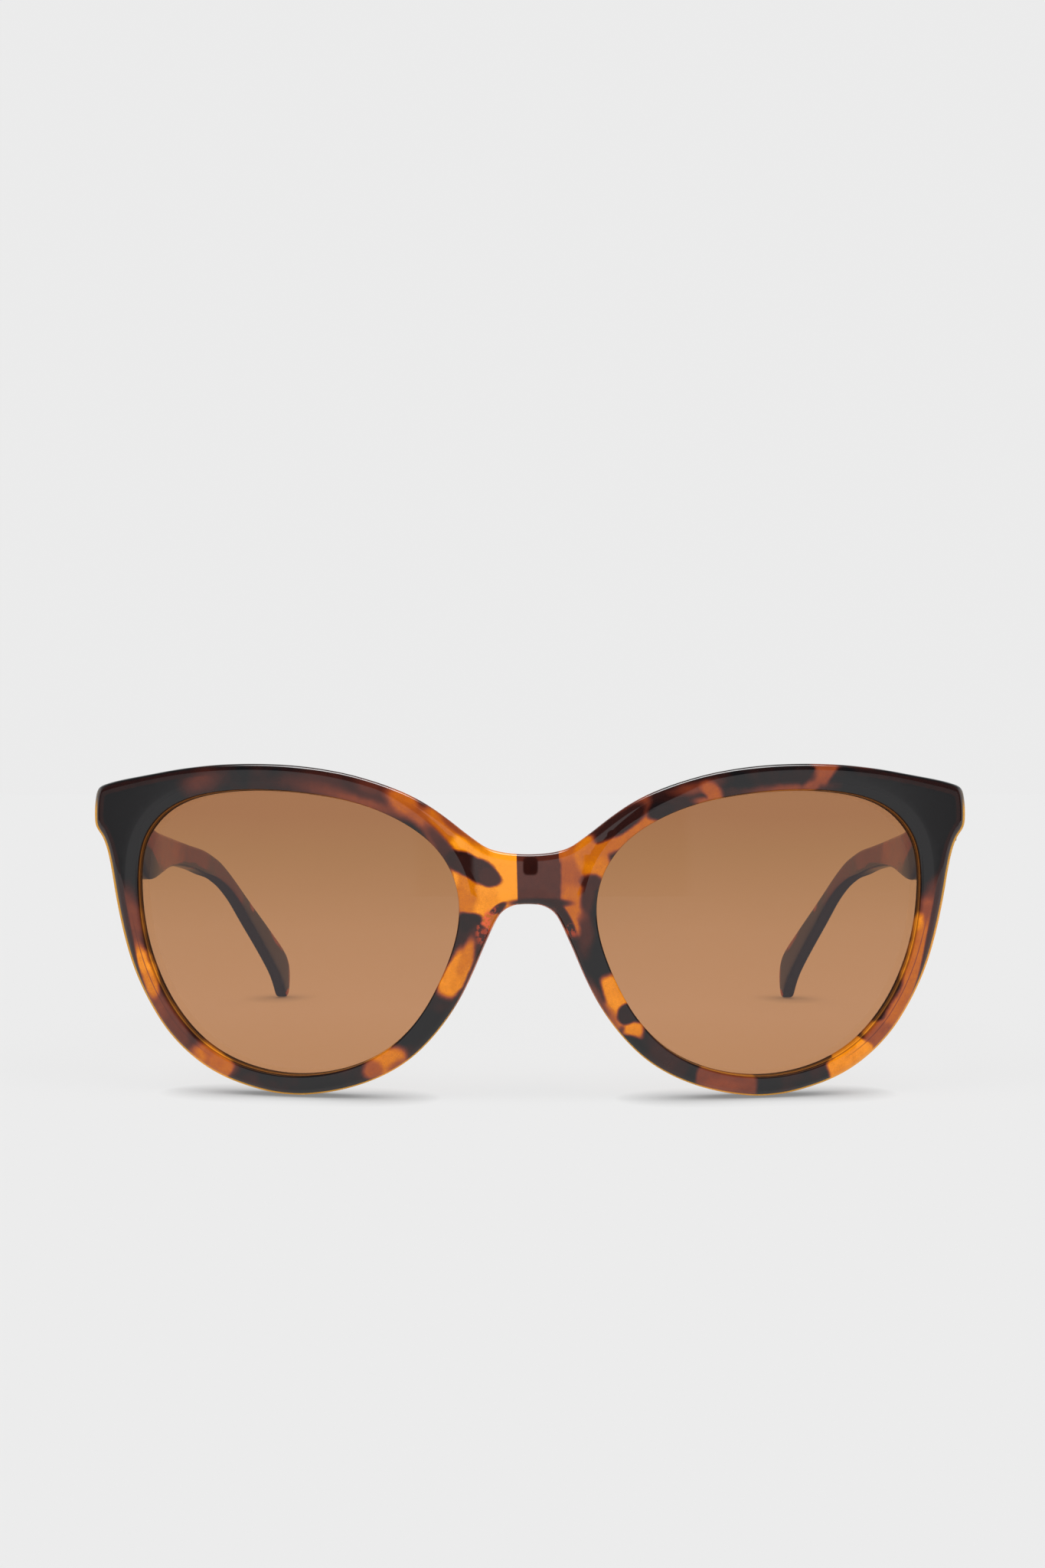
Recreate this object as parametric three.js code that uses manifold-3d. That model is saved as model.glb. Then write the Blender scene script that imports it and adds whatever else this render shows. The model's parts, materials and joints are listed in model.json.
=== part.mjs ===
// Cat eye sunglasses, open, standing on the rim bottoms and the temple tips.
// Millimetres. +X is the viewer's right when facing the front, +Y runs back
// along the temples, +Z is up. The origin ends up on the resting plane, under
// the middle of the depth. Paired parts are drawn for the right side (+X) and
// mirrored for the left. A [from, to] pair is a range along one axis.
import * as THREE from "three";
import { mergeVertices } from "three/addons/utils/BufferGeometryUtils.js";
import { TessellateModifier } from "three/addons/modifiers/TessellateModifier.js";
import Module from "manifold-3d";

const wasm = await Module();
wasm.setup();

// ---------------------------------------------------------------- dimensions
const WRAP_R = 180; // radius of the front surface, both ways
const WRAP_Z = 27; // height of the middle of that surface
const STRAIGHT_U = [60, 68]; // over this width the depth turns to straight back
const FRONT_T = 5.2; // rim thickness, front to back
const EDGE_ROUND = 0.8; // bevel of the rim edges
const END_Y = 20.4; // flat back plane of the end pieces
const OVERCUT = 1; // how far a cutter runs past the face it opens

// Block behind each end piece that takes the hinge.
const BLOCK_X = 63.0; // inner side
const BLOCK_Z = [40.05, 50.85];
const BLOCK_Y0 = 16.3; // where it starts, inside the rim
const BLOCK_INSET = 0.03; // shift of its outline from the rim's, down and inward

// Depths are measured from the front surface, edges from the aperture.
const APERTURE_POINTS = 40;
const LENS_OUT = 0.8;
const LENS_DEPTH = [2.35, 4.15];
const LENS_ROUND = 0.5;
const GROOVE_OUT = 1.15;
const GROOVE_DEPTH = [2.1, 4.4];

const HINGE_X = 63.55; // hinge axis
const HINGE_Y = 21.8;
const BARREL_R = 1.25;
const BARREL_Z0 = 42.6; // bottom of the lowest knuckle
const KNUCKLE_H = 0.98;
const KNUCKLE_GAP = 0.08;
const KNUCKLES = 5;

const PIN_R = 0.55;
const PIN_BORE_R = 0.6;
const PIN_HEAD_R = 1.05;
const PIN_HEAD_H = 0.5;
const PIN_TAIL = 0.25; // tip below the barrel
const PIN_HEAD_GAP = 0.05; // between barrel and head

const TEMPLE_GAP = 0.15; // end piece to temple
const TEMPLE_Y0 = END_Y + TEMPLE_GAP;
const TEMPLE_INNER_X = 65.0; // inner face at the hinge
const TEMPLE_ROUND = 0.9;
const TEMPLE_BLANK_T = 4; // thickness before the blank is scaled to TEMPLE_T

const LEAF_T = 0.9;
const LEAF_SINK = 0.05; // leaf face below the surface it is let into
const POCKET_GAP = 0.15; // pocket beyond the leaf
const FRONT_LEAF_X = [63.3, 69.0];
const FRONT_LEAF_Y = [END_Y - LEAF_SINK - LEAF_T, END_Y - LEAF_SINK];
const FRONT_LEAF_Z = [42.4, 47.8];
const TEMPLE_LEAF_X = [TEMPLE_INNER_X + LEAF_SINK, TEMPLE_INNER_X + LEAF_SINK + LEAF_T];
const TEMPLE_LEAF = [ // y, z
  [21.0, 47.1], [22.8, 46.7], [26.0, 44.9], [31.0, 41.6], [31.9, 40.6],
  [31.6, 39.2], [30.4, 38.4], [28.6, 38.6], [24.4, 41.5], [22.6, 42.9],
  [21.0, 43.2],
];
const TEMPLE_LEAF_MIDDLE = [26.3, 42.6]; // y, z the pocket outline grows from
const TEMPLE_POCKET_GAP = 0.22;

const FRONT_SCREWS = [[67.2, 43.9], [67.2, 46.3]]; // x, z
const TEMPLE_SCREWS = [[25.0, 43.4], [29.4, 40.4]]; // y, z
const SCREW_R = 0.5;
const SCREW_HOLE_R = 0.6;
const SCREW_L = 3.0; // shank
const SCREW_HEAD_R = 0.95;
const SCREW_HEAD_H = 0.4;
const SCREW_HEAD_SINK = 0.02; // top of the head below the leaf face
const SINK_R = 1.05; // recess for the head
const SINK_DEPTH = SCREW_HEAD_H + 0.05;
const FRONT_HOLE_DEPTH = 4.0; // from the leaf face
const TEMPLE_HOLE_DEPTH = 3.7;

const PAD_TILT = 14; // splay of the nose pads, degrees
const PAD_T = 2.2;
const PAD_ROUND = 0.7;
const PAD_GAP = 0.15; // behind the rim
const PAD_PLACE = [10.35, 6.0, 19.6];

// Inner face of the temple: y, distance from the middle plane.
const INNER_X = [
  [20, TEMPLE_INNER_X], [33, TEMPLE_INNER_X], [60, 64.2], [90, 63.0],
  [120, 60.6], [152.5, 56.7],
];
// Thickness of the temple: y, thickness.
const TEMPLE_T = [
  [TEMPLE_Y0, 5.6], [24, 5.3], [30, 4.6], [35, 4.1], [45, 3.6], [60, 3.3],
  [90, 3.0], [120, 3.0], [152.5, 2.8],
];

// Right half of the outer outline, (u, v) on the developed front surface, from
// the top of the bridge round to its underside.
const OUTER_HALF = [
  [0, 38.6], [4.47, 39], [8.36, 40.9], [11.89, 43.6], [15.48, 46.15],
  [19.34, 48.2], [23.39, 49.75], [27.63, 51], [31.97, 51.9], [36.36, 52.5],
  [40.78, 52.82], [45.22, 52.9], [49.65, 52.78], [54.06, 52.4], [58.45, 51.8],
  [62.81, 50.98], [67.12, 50], [69.3, 49.4], [70.2, 49], [70.6, 48.4],
  [70.8, 47.6], [70.95, 46], [70.85, 43.2], [70.1, 41.7], [69.1, 40.1],
  [68.4, 38.1], [68.1, 37], [67.5, 34], [66.63, 29.47], [65.64, 25.15],
  [64.41, 20.9], [62.76, 16.8], [60.67, 12.9], [58.1, 9.31], [54.94, 6.21],
  [51.3, 3.68], [47.27, 1.87], [43.02, 0.55], [40.8, 0], [38.4, -0.3],
  [35.9, -0.3], [33.7, 0], [31.5, 0.52], [29.39, 1.08], [25.18, 2.46],
  [21.2, 4.41], [17.63, 7.02], [14.57, 10.22], [11.94, 13.78], [9.75, 17.61],
  [7.92, 21.64], [6.2, 25.6], [5.3, 27.6], [4.1, 29.55], [2.26, 30.6],
  [0, 30.82],
];

// Right lens aperture, (u, v), anticlockwise from the outer side.
const APERTURE = [
  [62.5, 26.8], [63.0, 31.28], [63.08, 36.07], [62.17, 40.98], [59.18, 44.91],
  [54.77, 47.26], [49.99, 48.27], [45.55, 48.65], [41.45, 48.63],
  [37.6, 48.41], [33.87, 47.96], [30.13, 47.33], [26.31, 46.36],
  [22.4, 44.9], [18.45, 42.85], [14.75, 39.98], [12.0, 36.1], [10.7, 31.5],
  [10.93, 26.8], [12.2, 22.3], [13.97, 18.2], [16.05, 14.35], [18.65, 10.9],
  [21.75, 7.95], [25.45, 5.75], [29.4, 4.27], [33.48, 3.44], [37.6, 3.2],
  [41.7, 3.6], [45.7, 4.6], [49.48, 6.22], [52.9, 8.56], [55.8, 11.55],
  [58.2, 14.9], [60.13, 18.6], [61.57, 22.57],
];

// Side profile of the temple, (y, z): upper edge back to the tip, then the
// lower edge forward again.
const TEMPLE_SIDE = [
  [TEMPLE_Y0, 48.2], [22.5, 47.9], [25, 46.8], [28, 45.1], [31.5, 43.1],
  [35, 41.75], [39.5, 40.95], [44.5, 40.35], [56.5, 38.9], [67, 37.7],
  [77, 36.6], [84, 35.4], [91, 33.9], [97, 32.0], [103, 29.8], [110, 27.0],
  [118, 23.8], [127, 20.0], [136, 16.0], [145, 11.9], [149.5, 9.3],
  [151.6, 7.0], [152.2, 4.6], [151.7, 2.2], [150.6, 0.0], [148.6, 0.0],
  [146.5, 2.4], [143, 5.4], [139, 8.0], [132, 12.1], [125, 16.0],
  [117, 20.2], [108, 24.6], [99, 28.0], [93, 29.6], [88.3, 30.6],
  [83, 31.3], [79, 31.8], [72.5, 32.8], [67, 33.5], [61, 34.1], [55, 34.45],
  [51, 34.5], [47, 34.3], [43.5, 33.8], [40.3, 33.4], [37, 33.0],
  [33, 33.0], [30, 33.6], [27.5, 35.0], [25, 37.2], [23, 39.0],
  [21.5, 39.9], [TEMPLE_Y0, 40.1],
];

// ------------------------------------------------------------ outline helpers
const length = ([from, to]) => to - from;
const middle = ([from, to]) => (from + to) / 2;
const grown = ([from, to], by) => [from - by, to + by];
const vectors = (rows) => rows.map(([x, y]) => new THREE.Vector2(x, y));
const shapeOf = (rows) => new THREE.Shape(vectors(rows));
// The same outline on the other side, running the same way round.
const mirroredRows = (rows) => rows.map(([x, y]) => [-x, y]).reverse();

// Straight-line lookup in (x, value) rows, held constant past both ends.
function lookUp(rows, x) {
  if (x <= rows[0][0]) return rows[0][1];
  for (let i = 1; i < rows.length; i++)
    if (x <= rows[i][0]) {
      const [x0, value0] = rows[i - 1];
      const [x1, value1] = rows[i];
      return value0 + ((value1 - value0) * (x - x0)) / (x1 - x0);
    }
  return rows[rows.length - 1][1];
}

// The aperture resampled along a smooth curve and pushed outward.
function apertureRows(outward) {
  const curve = new THREE.CatmullRomCurve3(
    APERTURE.map(([x, y]) => new THREE.Vector3(x, y, 0)), true, "centripetal");
  curve.arcLengthDivisions = 800;
  return Array.from({ length: APERTURE_POINTS }, (_, i) => {
    const point = curve.getPointAt(i / APERTURE_POINTS);
    const tangent = curve.getTangentAt(i / APERTURE_POINTS);
    return [point.x + tangent.y * outward, point.y - tangent.x * outward];
  });
}

// -------------------------------------------------------------- solid helpers
function positionsOnly(geometry) {
  geometry.deleteAttribute("normal");
  geometry.deleteAttribute("uv");
  return geometry;
}

const manifoldOf = (vertProperties, triVerts) =>
  new wasm.Manifold(new wasm.Mesh({ numProp: 3, vertProperties, triVerts }));

function solid(geometry) {
  const merged = mergeVertices(positionsOnly(geometry), 1e-4);
  return manifoldOf(new Float32Array(merged.attributes.position.array),
    new Uint32Array(merged.index.array));
}

// Mirror image across the middle plane, with the triangles turned back outward.
function mirrored(manifold) {
  const mesh = manifold.getMesh();
  const vertices = Float32Array.from(mesh.vertProperties);
  for (let i = 0; i < vertices.length; i += 3) vertices[i] = -vertices[i];
  const triangles = Uint32Array.from(mesh.triVerts);
  for (let i = 0; i < triangles.length; i += 3)
    [triangles[i + 1], triangles[i + 2]] = [triangles[i + 2], triangles[i + 1]];
  return manifoldOf(vertices, triangles);
}

function flatGeometry(manifold) {
  const mesh = manifold.getMesh();
  const geometry = new THREE.BufferGeometry();
  geometry.setAttribute("position",
    new THREE.BufferAttribute(new Float32Array(mesh.vertProperties), 3));
  geometry.setIndex(new THREE.BufferAttribute(new Uint32Array(mesh.triVerts), 1));
  const flat = geometry.toNonIndexed();
  flat.computeVertexNormals();
  return flat;
}

// Splits long edges so that the geometry can follow a curve.
const subdivided = (geometry, maxEdge) =>
  new TessellateModifier(maxEdge, 8).modify(positionsOnly(geometry));

function remap(geometry, place) {
  const position = geometry.getAttribute("position");
  for (let i = 0; i < position.count; i++)
    position.setXYZ(i, ...place(position.getX(i), position.getY(i), position.getZ(i)));
  return geometry;
}

// A slab from z = -round to thickness - round, bevelled inside its outline.
const slab = (shape, thickness, round = 0, curveSegments = 1) =>
  new THREE.ExtrudeGeometry(shape, {
    depth: thickness - 2 * round,
    bevelEnabled: round > 0,
    bevelThickness: round,
    bevelSize: round,
    bevelOffset: -round,
    bevelSegments: 1,
    steps: 1,
    curveSegments,
  });

// From the developed front surface (u across, v up, depth) to space. The end
// pieces run straight back, the rest follows the surface normal.
function bend(u, v, depth) {
  const lean = (1 - THREE.MathUtils.smoothstep(Math.abs(u), ...STRAIGHT_U)) / WRAP_R;
  const sweep = (u * u + (v - WRAP_Z) ** 2) / (2 * WRAP_R);
  return [u * (1 - lean * depth), sweep + depth, v - lean * depth * (v - WRAP_Z)];
}

// A plate cut from the developed surface, between two depths.
const plate = (shape, depths, round = 0, maxEdge = 11) =>
  solid(remap(subdivided(slab(shape, length(depths), round), maxEdge),
    (u, v, height) => bend(u, v, depths[1] - round - height)));

const box = (x, y, z) =>
  solid(new THREE.BoxGeometry(length(x), length(y), length(z))
    .translate(middle(x), middle(y), middle(z)));
const rod = (radius, range, segments) =>
  new THREE.CylinderGeometry(radius, radius, length(range), segments);
const rodX = (radius, x, y, z) =>
  solid(rod(radius, x, 12).rotateZ(Math.PI / 2).translate(middle(x), y, z));
const rodY = (radius, x, y, z) => solid(rod(radius, y, 12).translate(x, middle(y), z));
const rodZ = (radius, x, y, z) =>
  solid(rod(radius, z, 16).rotateX(Math.PI / 2).translate(x, y, middle(z)));

// Prisms along X, outline in (y, z), and along Y, outline in (x, z).
const prismX = (rows, range) =>
  solid(remap(slab(shapeOf(rows), length(range)), (y, z, along) => [range[0] + along, y, z]));
const prismY = (rows, range) =>
  solid(remap(slab(shapeOf(rows), length(range)), (x, z, along) => [x, range[1] - along, z]));

// -------------------------------------------------------------- front frame
function frontShape() {
  const shape = shapeOf([...OUTER_HALF, ...mirroredRows(OUTER_HALF.slice(1, -1))]);
  const aperture = apertureRows(0);
  for (const rows of [aperture, mirroredRows(aperture)])
    shape.holes.push(new THREE.Path(vectors(rows)));
  return shape;
}

function hingeBlock() {
  const outerSide = OUTER_HALF
    .filter(([u, v]) => u > BLOCK_X && v >= BLOCK_Z[0])
    .map(([u, v]) => [u - BLOCK_INSET, v - BLOCK_INSET]);
  const rows = [...outerSide, [BLOCK_X, BLOCK_Z[0]], [BLOCK_X, BLOCK_Z[1]]];
  return prismY(rows, [BLOCK_Y0, END_Y]);
}

// Pocket for the front leaf, open at the back and inner side, with screw holes.
function frontPocket() {
  let pocket = box(
    [BLOCK_X - OVERCUT, FRONT_LEAF_X[1] + POCKET_GAP],
    [FRONT_LEAF_Y[0] - POCKET_GAP, END_Y + OVERCUT],
    grown(FRONT_LEAF_Z, POCKET_GAP));
  for (const [x, z] of FRONT_SCREWS)
    pocket = pocket.add(rodY(SCREW_HOLE_R, x, [FRONT_LEAF_Y[1] - FRONT_HOLE_DEPTH, END_Y], z));
  return pocket;
}

function frontFrame() {
  const block = hingeBlock();
  const cutters = [
    box([55, 80], [END_Y, 40], [30, 60]), // everything behind the end piece
    frontPocket(),
    plate(shapeOf(apertureRows(GROOVE_OUT)), GROOVE_DEPTH), // lens groove
  ];
  let frame = plate(frontShape(), [0, FRONT_T], EDGE_ROUND);
  for (const onSide of [(part) => part, mirrored]) {
    frame = frame.add(onSide(block));
    for (const cutter of cutters) frame = frame.subtract(onSide(cutter));
  }
  // The rims stand on small flats at z = 0.
  return frame.subtract(box([-80, 80], [-5, 40], [-5, 0]));
}

const lens = () => plate(shapeOf(apertureRows(LENS_OUT)), LENS_DEPTH, LENS_ROUND);

// ---------------------------------------------------------------- nose pads
// Rounded leaf outline: x runs up along the nose, y runs back.
function padShape() {
  const shape = new THREE.Shape();
  shape.moveTo(-7.0, -1.6);
  shape.lineTo(7.0, -1.6);
  shape.bezierCurveTo(7.6, 1.5, 6.4, 4.2, 3.2, 5.6);
  shape.bezierCurveTo(0.5, 6.8, -2.6, 7.2, -4.8, 5.8);
  shape.bezierCurveTo(-6.6, 4.6, -7.4, 1.6, -7.0, -1.6);
  return shape;
}

// A leaf behind the rim beside the nose, splayed outward as it runs back.
function nosePad() {
  const up = new THREE.Vector3(-0.457, 0, 0.889).normalize();
  const outward = new THREE.Vector3(0.889, 0, 0.457).normalize();
  const tilt = THREE.MathUtils.degToRad(PAD_TILT);
  const back = new THREE.Vector3(0, Math.cos(tilt), 0)
    .addScaledVector(outward, Math.sin(tilt));
  const across = new THREE.Vector3().crossVectors(up, back);
  const frame = new THREE.Matrix4().makeBasis(up, back, across).setPosition(...PAD_PLACE);
  const leaf = slab(padShape(), PAD_T, PAD_ROUND, 5)
    .translate(0, 0, -PAD_T / 2 + PAD_ROUND)
    .applyMatrix4(frame);
  // Trims the leaf to the curve of the rim's back.
  const rimSide = shapeOf([[-4, 2], [26, 2], [26, 40], [-4, 40]]);
  return solid(leaf).subtract(plate(rimSide, [-3, FRONT_T + PAD_GAP], 0, 4));
}

// ------------------------------------------------------------------- hinges
function knuckleZ(i) {
  const bottom = BARREL_Z0 + i * (KNUCKLE_H + KNUCKLE_GAP);
  return [bottom, bottom + KNUCKLE_H];
}
const BARREL_Z = [BARREL_Z0, knuckleZ(KNUCKLES - 1)[1]];

// Adds the numbered knuckles, each on a strap to the leaf, and bores the barrel.
function withKnuckles(leaf, numbers, strapX, strapY) {
  for (const i of numbers)
    leaf = leaf
      .add(rodZ(BARREL_R, HINGE_X, HINGE_Y, knuckleZ(i)))
      .add(box(strapX, strapY, knuckleZ(i)));
  return leaf.subtract(rodZ(PIN_BORE_R, HINGE_X, HINGE_Y, grown(BARREL_Z, OVERCUT)));
}

function frontLeaf() {
  let leaf = withKnuckles(box(FRONT_LEAF_X, FRONT_LEAF_Y, FRONT_LEAF_Z), [0, 2, 4],
    [HINGE_X - 0.15, HINGE_X + 0.75], [FRONT_LEAF_Y[0] + 0.1, HINGE_Y]);
  const backY = FRONT_LEAF_Y[1];
  for (const [x, z] of FRONT_SCREWS)
    leaf = leaf
      .subtract(rodY(SCREW_HOLE_R, x, grown(FRONT_LEAF_Y, OVERCUT), z))
      .subtract(rodY(SINK_R, x, [backY - SINK_DEPTH, backY + OVERCUT], z));
  return leaf;
}

function templeLeaf() {
  const [innerX, outerX] = TEMPLE_LEAF_X;
  let leaf = withKnuckles(prismX(TEMPLE_LEAF, TEMPLE_LEAF_X), [1, 3],
    [HINGE_X, outerX - 0.1], [HINGE_Y - 0.5, HINGE_Y + 0.9]);
  for (const [y, z] of TEMPLE_SCREWS)
    leaf = leaf
      .subtract(rodX(SCREW_HOLE_R, grown(TEMPLE_LEAF_X, OVERCUT), y, z))
      .subtract(rodX(SINK_R, [innerX - OVERCUT, innerX + SINK_DEPTH], y, z));
  return leaf;
}

// A screw with a slot across its chamfered head, along +Y from its tip.
function screw({ radius, shank, headRadius, headHeight, slotWidth, segments }) {
  const profile = [ // radius, y
    [0, 0],
    [radius * 0.55, 0],
    [radius, radius * 0.6],
    [radius, shank],
    [headRadius * 0.8, shank],
    [headRadius, shank + headHeight * 0.35],
    [headRadius, shank + headHeight * 0.75],
    [headRadius * 0.86, shank + headHeight],
    [0, shank + headHeight],
  ];
  const slot = new THREE.BoxGeometry(slotWidth, headHeight, headRadius * 3)
    .translate(0, shank + headHeight * 1.05, 0);
  return solid(new THREE.LatheGeometry(vectors(profile), segments)).subtract(solid(slot));
}

const leafScrew = () => screw({
  radius: SCREW_R,
  shank: SCREW_L,
  headRadius: SCREW_HEAD_R,
  headHeight: SCREW_HEAD_H,
  slotWidth: 0.3,
  segments: 10,
});
const hingeScrew = () => screw({
  radius: PIN_R,
  shank: length(BARREL_Z) + PIN_TAIL + PIN_HEAD_GAP,
  headRadius: PIN_HEAD_R,
  headHeight: PIN_HEAD_H,
  slotWidth: 0.35,
  segments: 16,
});

// ------------------------------------------------------------------ temples
// Pocket for the temple leaf, run out through the front end of the temple.
function templePocket() {
  const [middleY, middleZ] = TEMPLE_LEAF_MIDDLE;
  const rows = TEMPLE_LEAF.map(([y, z]) => {
    const grow = TEMPLE_POCKET_GAP / Math.hypot(y - middleY, z - middleZ);
    return [y + (y - middleY) * grow, z + (z - middleZ) * grow];
  });
  rows[0][0] = rows[rows.length - 1][0] = TEMPLE_Y0 - OVERCUT;
  return prismX(rows, [TEMPLE_LEAF_X[0] - 2, TEMPLE_LEAF_X[1] + POCKET_GAP]);
}

function temple() {
  const blank = slab(shapeOf(TEMPLE_SIDE), TEMPLE_BLANK_T, TEMPLE_ROUND);
  let arm = solid(remap(subdivided(blank, 12), (y, z, height) => {
    const share = (height + TEMPLE_ROUND) / TEMPLE_BLANK_T;
    return [lookUp(INNER_X, y) + share * lookUp(TEMPLE_T, y), y, z];
  })).subtract(templePocket());
  const holeX = [TEMPLE_LEAF_X[0], TEMPLE_LEAF_X[0] + TEMPLE_HOLE_DEPTH];
  for (const [y, z] of TEMPLE_SCREWS) arm = arm.subtract(rodX(SCREW_HOLE_R, holeX, y, z));
  return arm;
}

// ---------------------------------------------------------------- materials
const finish = (settings) => () => new THREE.MeshStandardMaterial(settings);
const TORTOISE = 0x5a2c14;
const STEEL = 0xb9b7b2;
const frontTortoise = finish({ color: TORTOISE, roughness: 0.18 });
const templeTortoise = finish({ color: TORTOISE, roughness: 0.2 });
const amber = finish({ color: 0xb5651d, roughness: 0.25 });
const tint = finish({ color: 0xa57550, roughness: 0.08, opacity: 0.6, transparent: true });
const steel = finish({ color: STEEL, roughness: 0.3, metalness: 1 });
const pinSteel = finish({ color: STEEL, roughness: 0.25, metalness: 1 });

// ----------------------------------------------------------------- assembly
const SOLIDS = {
  lens: lens(),
  nosePad: nosePad(),
  frontLeaf: frontLeaf(),
  leafScrew: leafScrew(),
  hingeScrew: hingeScrew(),
  temple: temple(),
  templeLeaf: templeLeaf(),
};

// A side of -1 mirrors the piece.
function piece(name, manifold, material, side = 1) {
  const mesh = new THREE.Mesh(flatGeometry(manifold), material());
  mesh.name = name;
  mesh.scale.x = side;
  return mesh;
}

// From the face of a leaf to the tip of its screws.
const SCREW_REACH = SCREW_HEAD_H + SCREW_L + SCREW_HEAD_SINK;

function addFrontParts(group, word, side) {
  group.add(
    piece("lens_" + word, SOLIDS.lens, tint, side),
    piece("nose_pad_" + word, SOLIDS.nosePad, amber, side),
    piece("front_hinge_leaf_" + word, SOLIDS.frontLeaf, steel, side));
  FRONT_SCREWS.forEach(([x, z], i) => {
    const name = "front_leaf_screw_" + word + (i ? "_upper" : "_lower");
    const mesh = piece(name, SOLIDS.leafScrew, steel);
    mesh.position.set(side * x, FRONT_LEAF_Y[1] - SCREW_REACH, z);
    group.add(mesh);
  });
  const pin = piece("hinge_screw_" + word, SOLIDS.hingeScrew, pinSteel);
  pin.rotation.x = Math.PI / 2; // head up
  pin.position.set(side * HINGE_X, HINGE_Y, BARREL_Z0 - PIN_TAIL);
  group.add(pin);
}

function templeGroup(word, side) {
  const group = new THREE.Group();
  group.add(
    piece("temple_" + word, SOLIDS.temple, templeTortoise, side),
    piece("temple_hinge_leaf_" + word, SOLIDS.templeLeaf, steel, side));
  TEMPLE_SCREWS.forEach(([y, z], i) => {
    const name = "temple_leaf_screw_" + word + (i ? "_rear" : "_front");
    const mesh = piece(name, SOLIDS.leafScrew, steel);
    mesh.rotation.z = side * (Math.PI / 2); // head toward the middle plane
    mesh.position.set(side * (TEMPLE_LEAF_X[0] + SCREW_REACH), y, z);
    group.add(mesh);
  });
  return group;
}

const glasses = new THREE.Group();
const frontGroup = new THREE.Group();
frontGroup.add(piece("front_frame", frontFrame(), frontTortoise));
glasses.add(frontGroup);
for (const [word, side] of [["right", 1], ["left", -1]]) {
  addFrontParts(frontGroup, word, side);
  glasses.add(templeGroup(word, side));
}

// Centre the depth on the origin and stand the glasses on z = 0.
glasses.updateMatrixWorld(true);
const bounds = new THREE.Box3().setFromObject(glasses, true);
glasses.position.set(0, -(bounds.min.y + bounds.max.y) / 2, -bounds.min.z);

export default glasses;
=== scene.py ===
# Tortoiseshell glasses with brown lenses, temples open. They stand on the floor z = 0 with x
# across, z up and y running from the front back along the temples. The camera looks along +y,
# and "right" in a name means +x. The left lens, temple and nose pad mirror the right ones.
import bpy
import bmesh
import json
from math import ceil, cos, pi, radians, sin
import numpy as np
from mathutils import Vector, Matrix
from mathutils.geometry import delaunay_2d_cdt


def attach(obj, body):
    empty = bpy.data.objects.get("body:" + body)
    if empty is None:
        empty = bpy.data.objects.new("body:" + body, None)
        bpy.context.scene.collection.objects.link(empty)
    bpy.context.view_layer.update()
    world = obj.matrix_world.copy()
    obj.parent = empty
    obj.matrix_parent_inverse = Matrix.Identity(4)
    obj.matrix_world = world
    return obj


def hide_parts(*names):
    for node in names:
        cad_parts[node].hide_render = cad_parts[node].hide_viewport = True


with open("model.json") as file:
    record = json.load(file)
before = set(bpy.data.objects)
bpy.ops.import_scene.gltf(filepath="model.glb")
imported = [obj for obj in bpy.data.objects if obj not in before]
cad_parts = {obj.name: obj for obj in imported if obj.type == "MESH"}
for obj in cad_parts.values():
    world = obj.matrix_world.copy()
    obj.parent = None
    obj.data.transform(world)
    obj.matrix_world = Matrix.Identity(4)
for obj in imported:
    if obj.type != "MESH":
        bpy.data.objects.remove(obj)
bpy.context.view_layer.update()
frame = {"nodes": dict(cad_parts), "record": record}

# ---------------------------------------------------------------- dimensions
# Shapes are in mm in a design frame: x across, z up from the floor, y back from the crown of
# the front. SHIFT_Y moves the design frame along y onto the CAD frame.
MM = 0.001
DESIGN_HINGE_Y = 21.8
hinge = next(j for j in frame["record"]["behaviour"]["joints"] if j["name"] == "temple_right_fold")
SHIFT_Y = hinge["pos_m"][1] * 1000.0 - DESIGN_HINGE_Y

WRAP_RADIUS = 180.0         # the front is bowed like a bowl of this radius
WRAP_Z = 27.0               # height of the middle of the bowl
FRONT_THICKNESS = 5.2
END_PIECE_Y = 20.4          # flat back of the end pieces, at the upper outer corners
OUTLINE_STEP = 0.45         # spacing of points along the outer and eye outlines
REAR_EDGE_RADIUS = 1.05     # rounding of the outer edge at the back
EYE_REAR_RADIUS = 0.54      # rounding of the eye opening at the back
EYE_BEVEL_SLOPE = 0.115     # fall of the bevel round the eye opening
TEMPLE_FRONT_Y = 20.55      # straight cut at the front end of the temple

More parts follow.
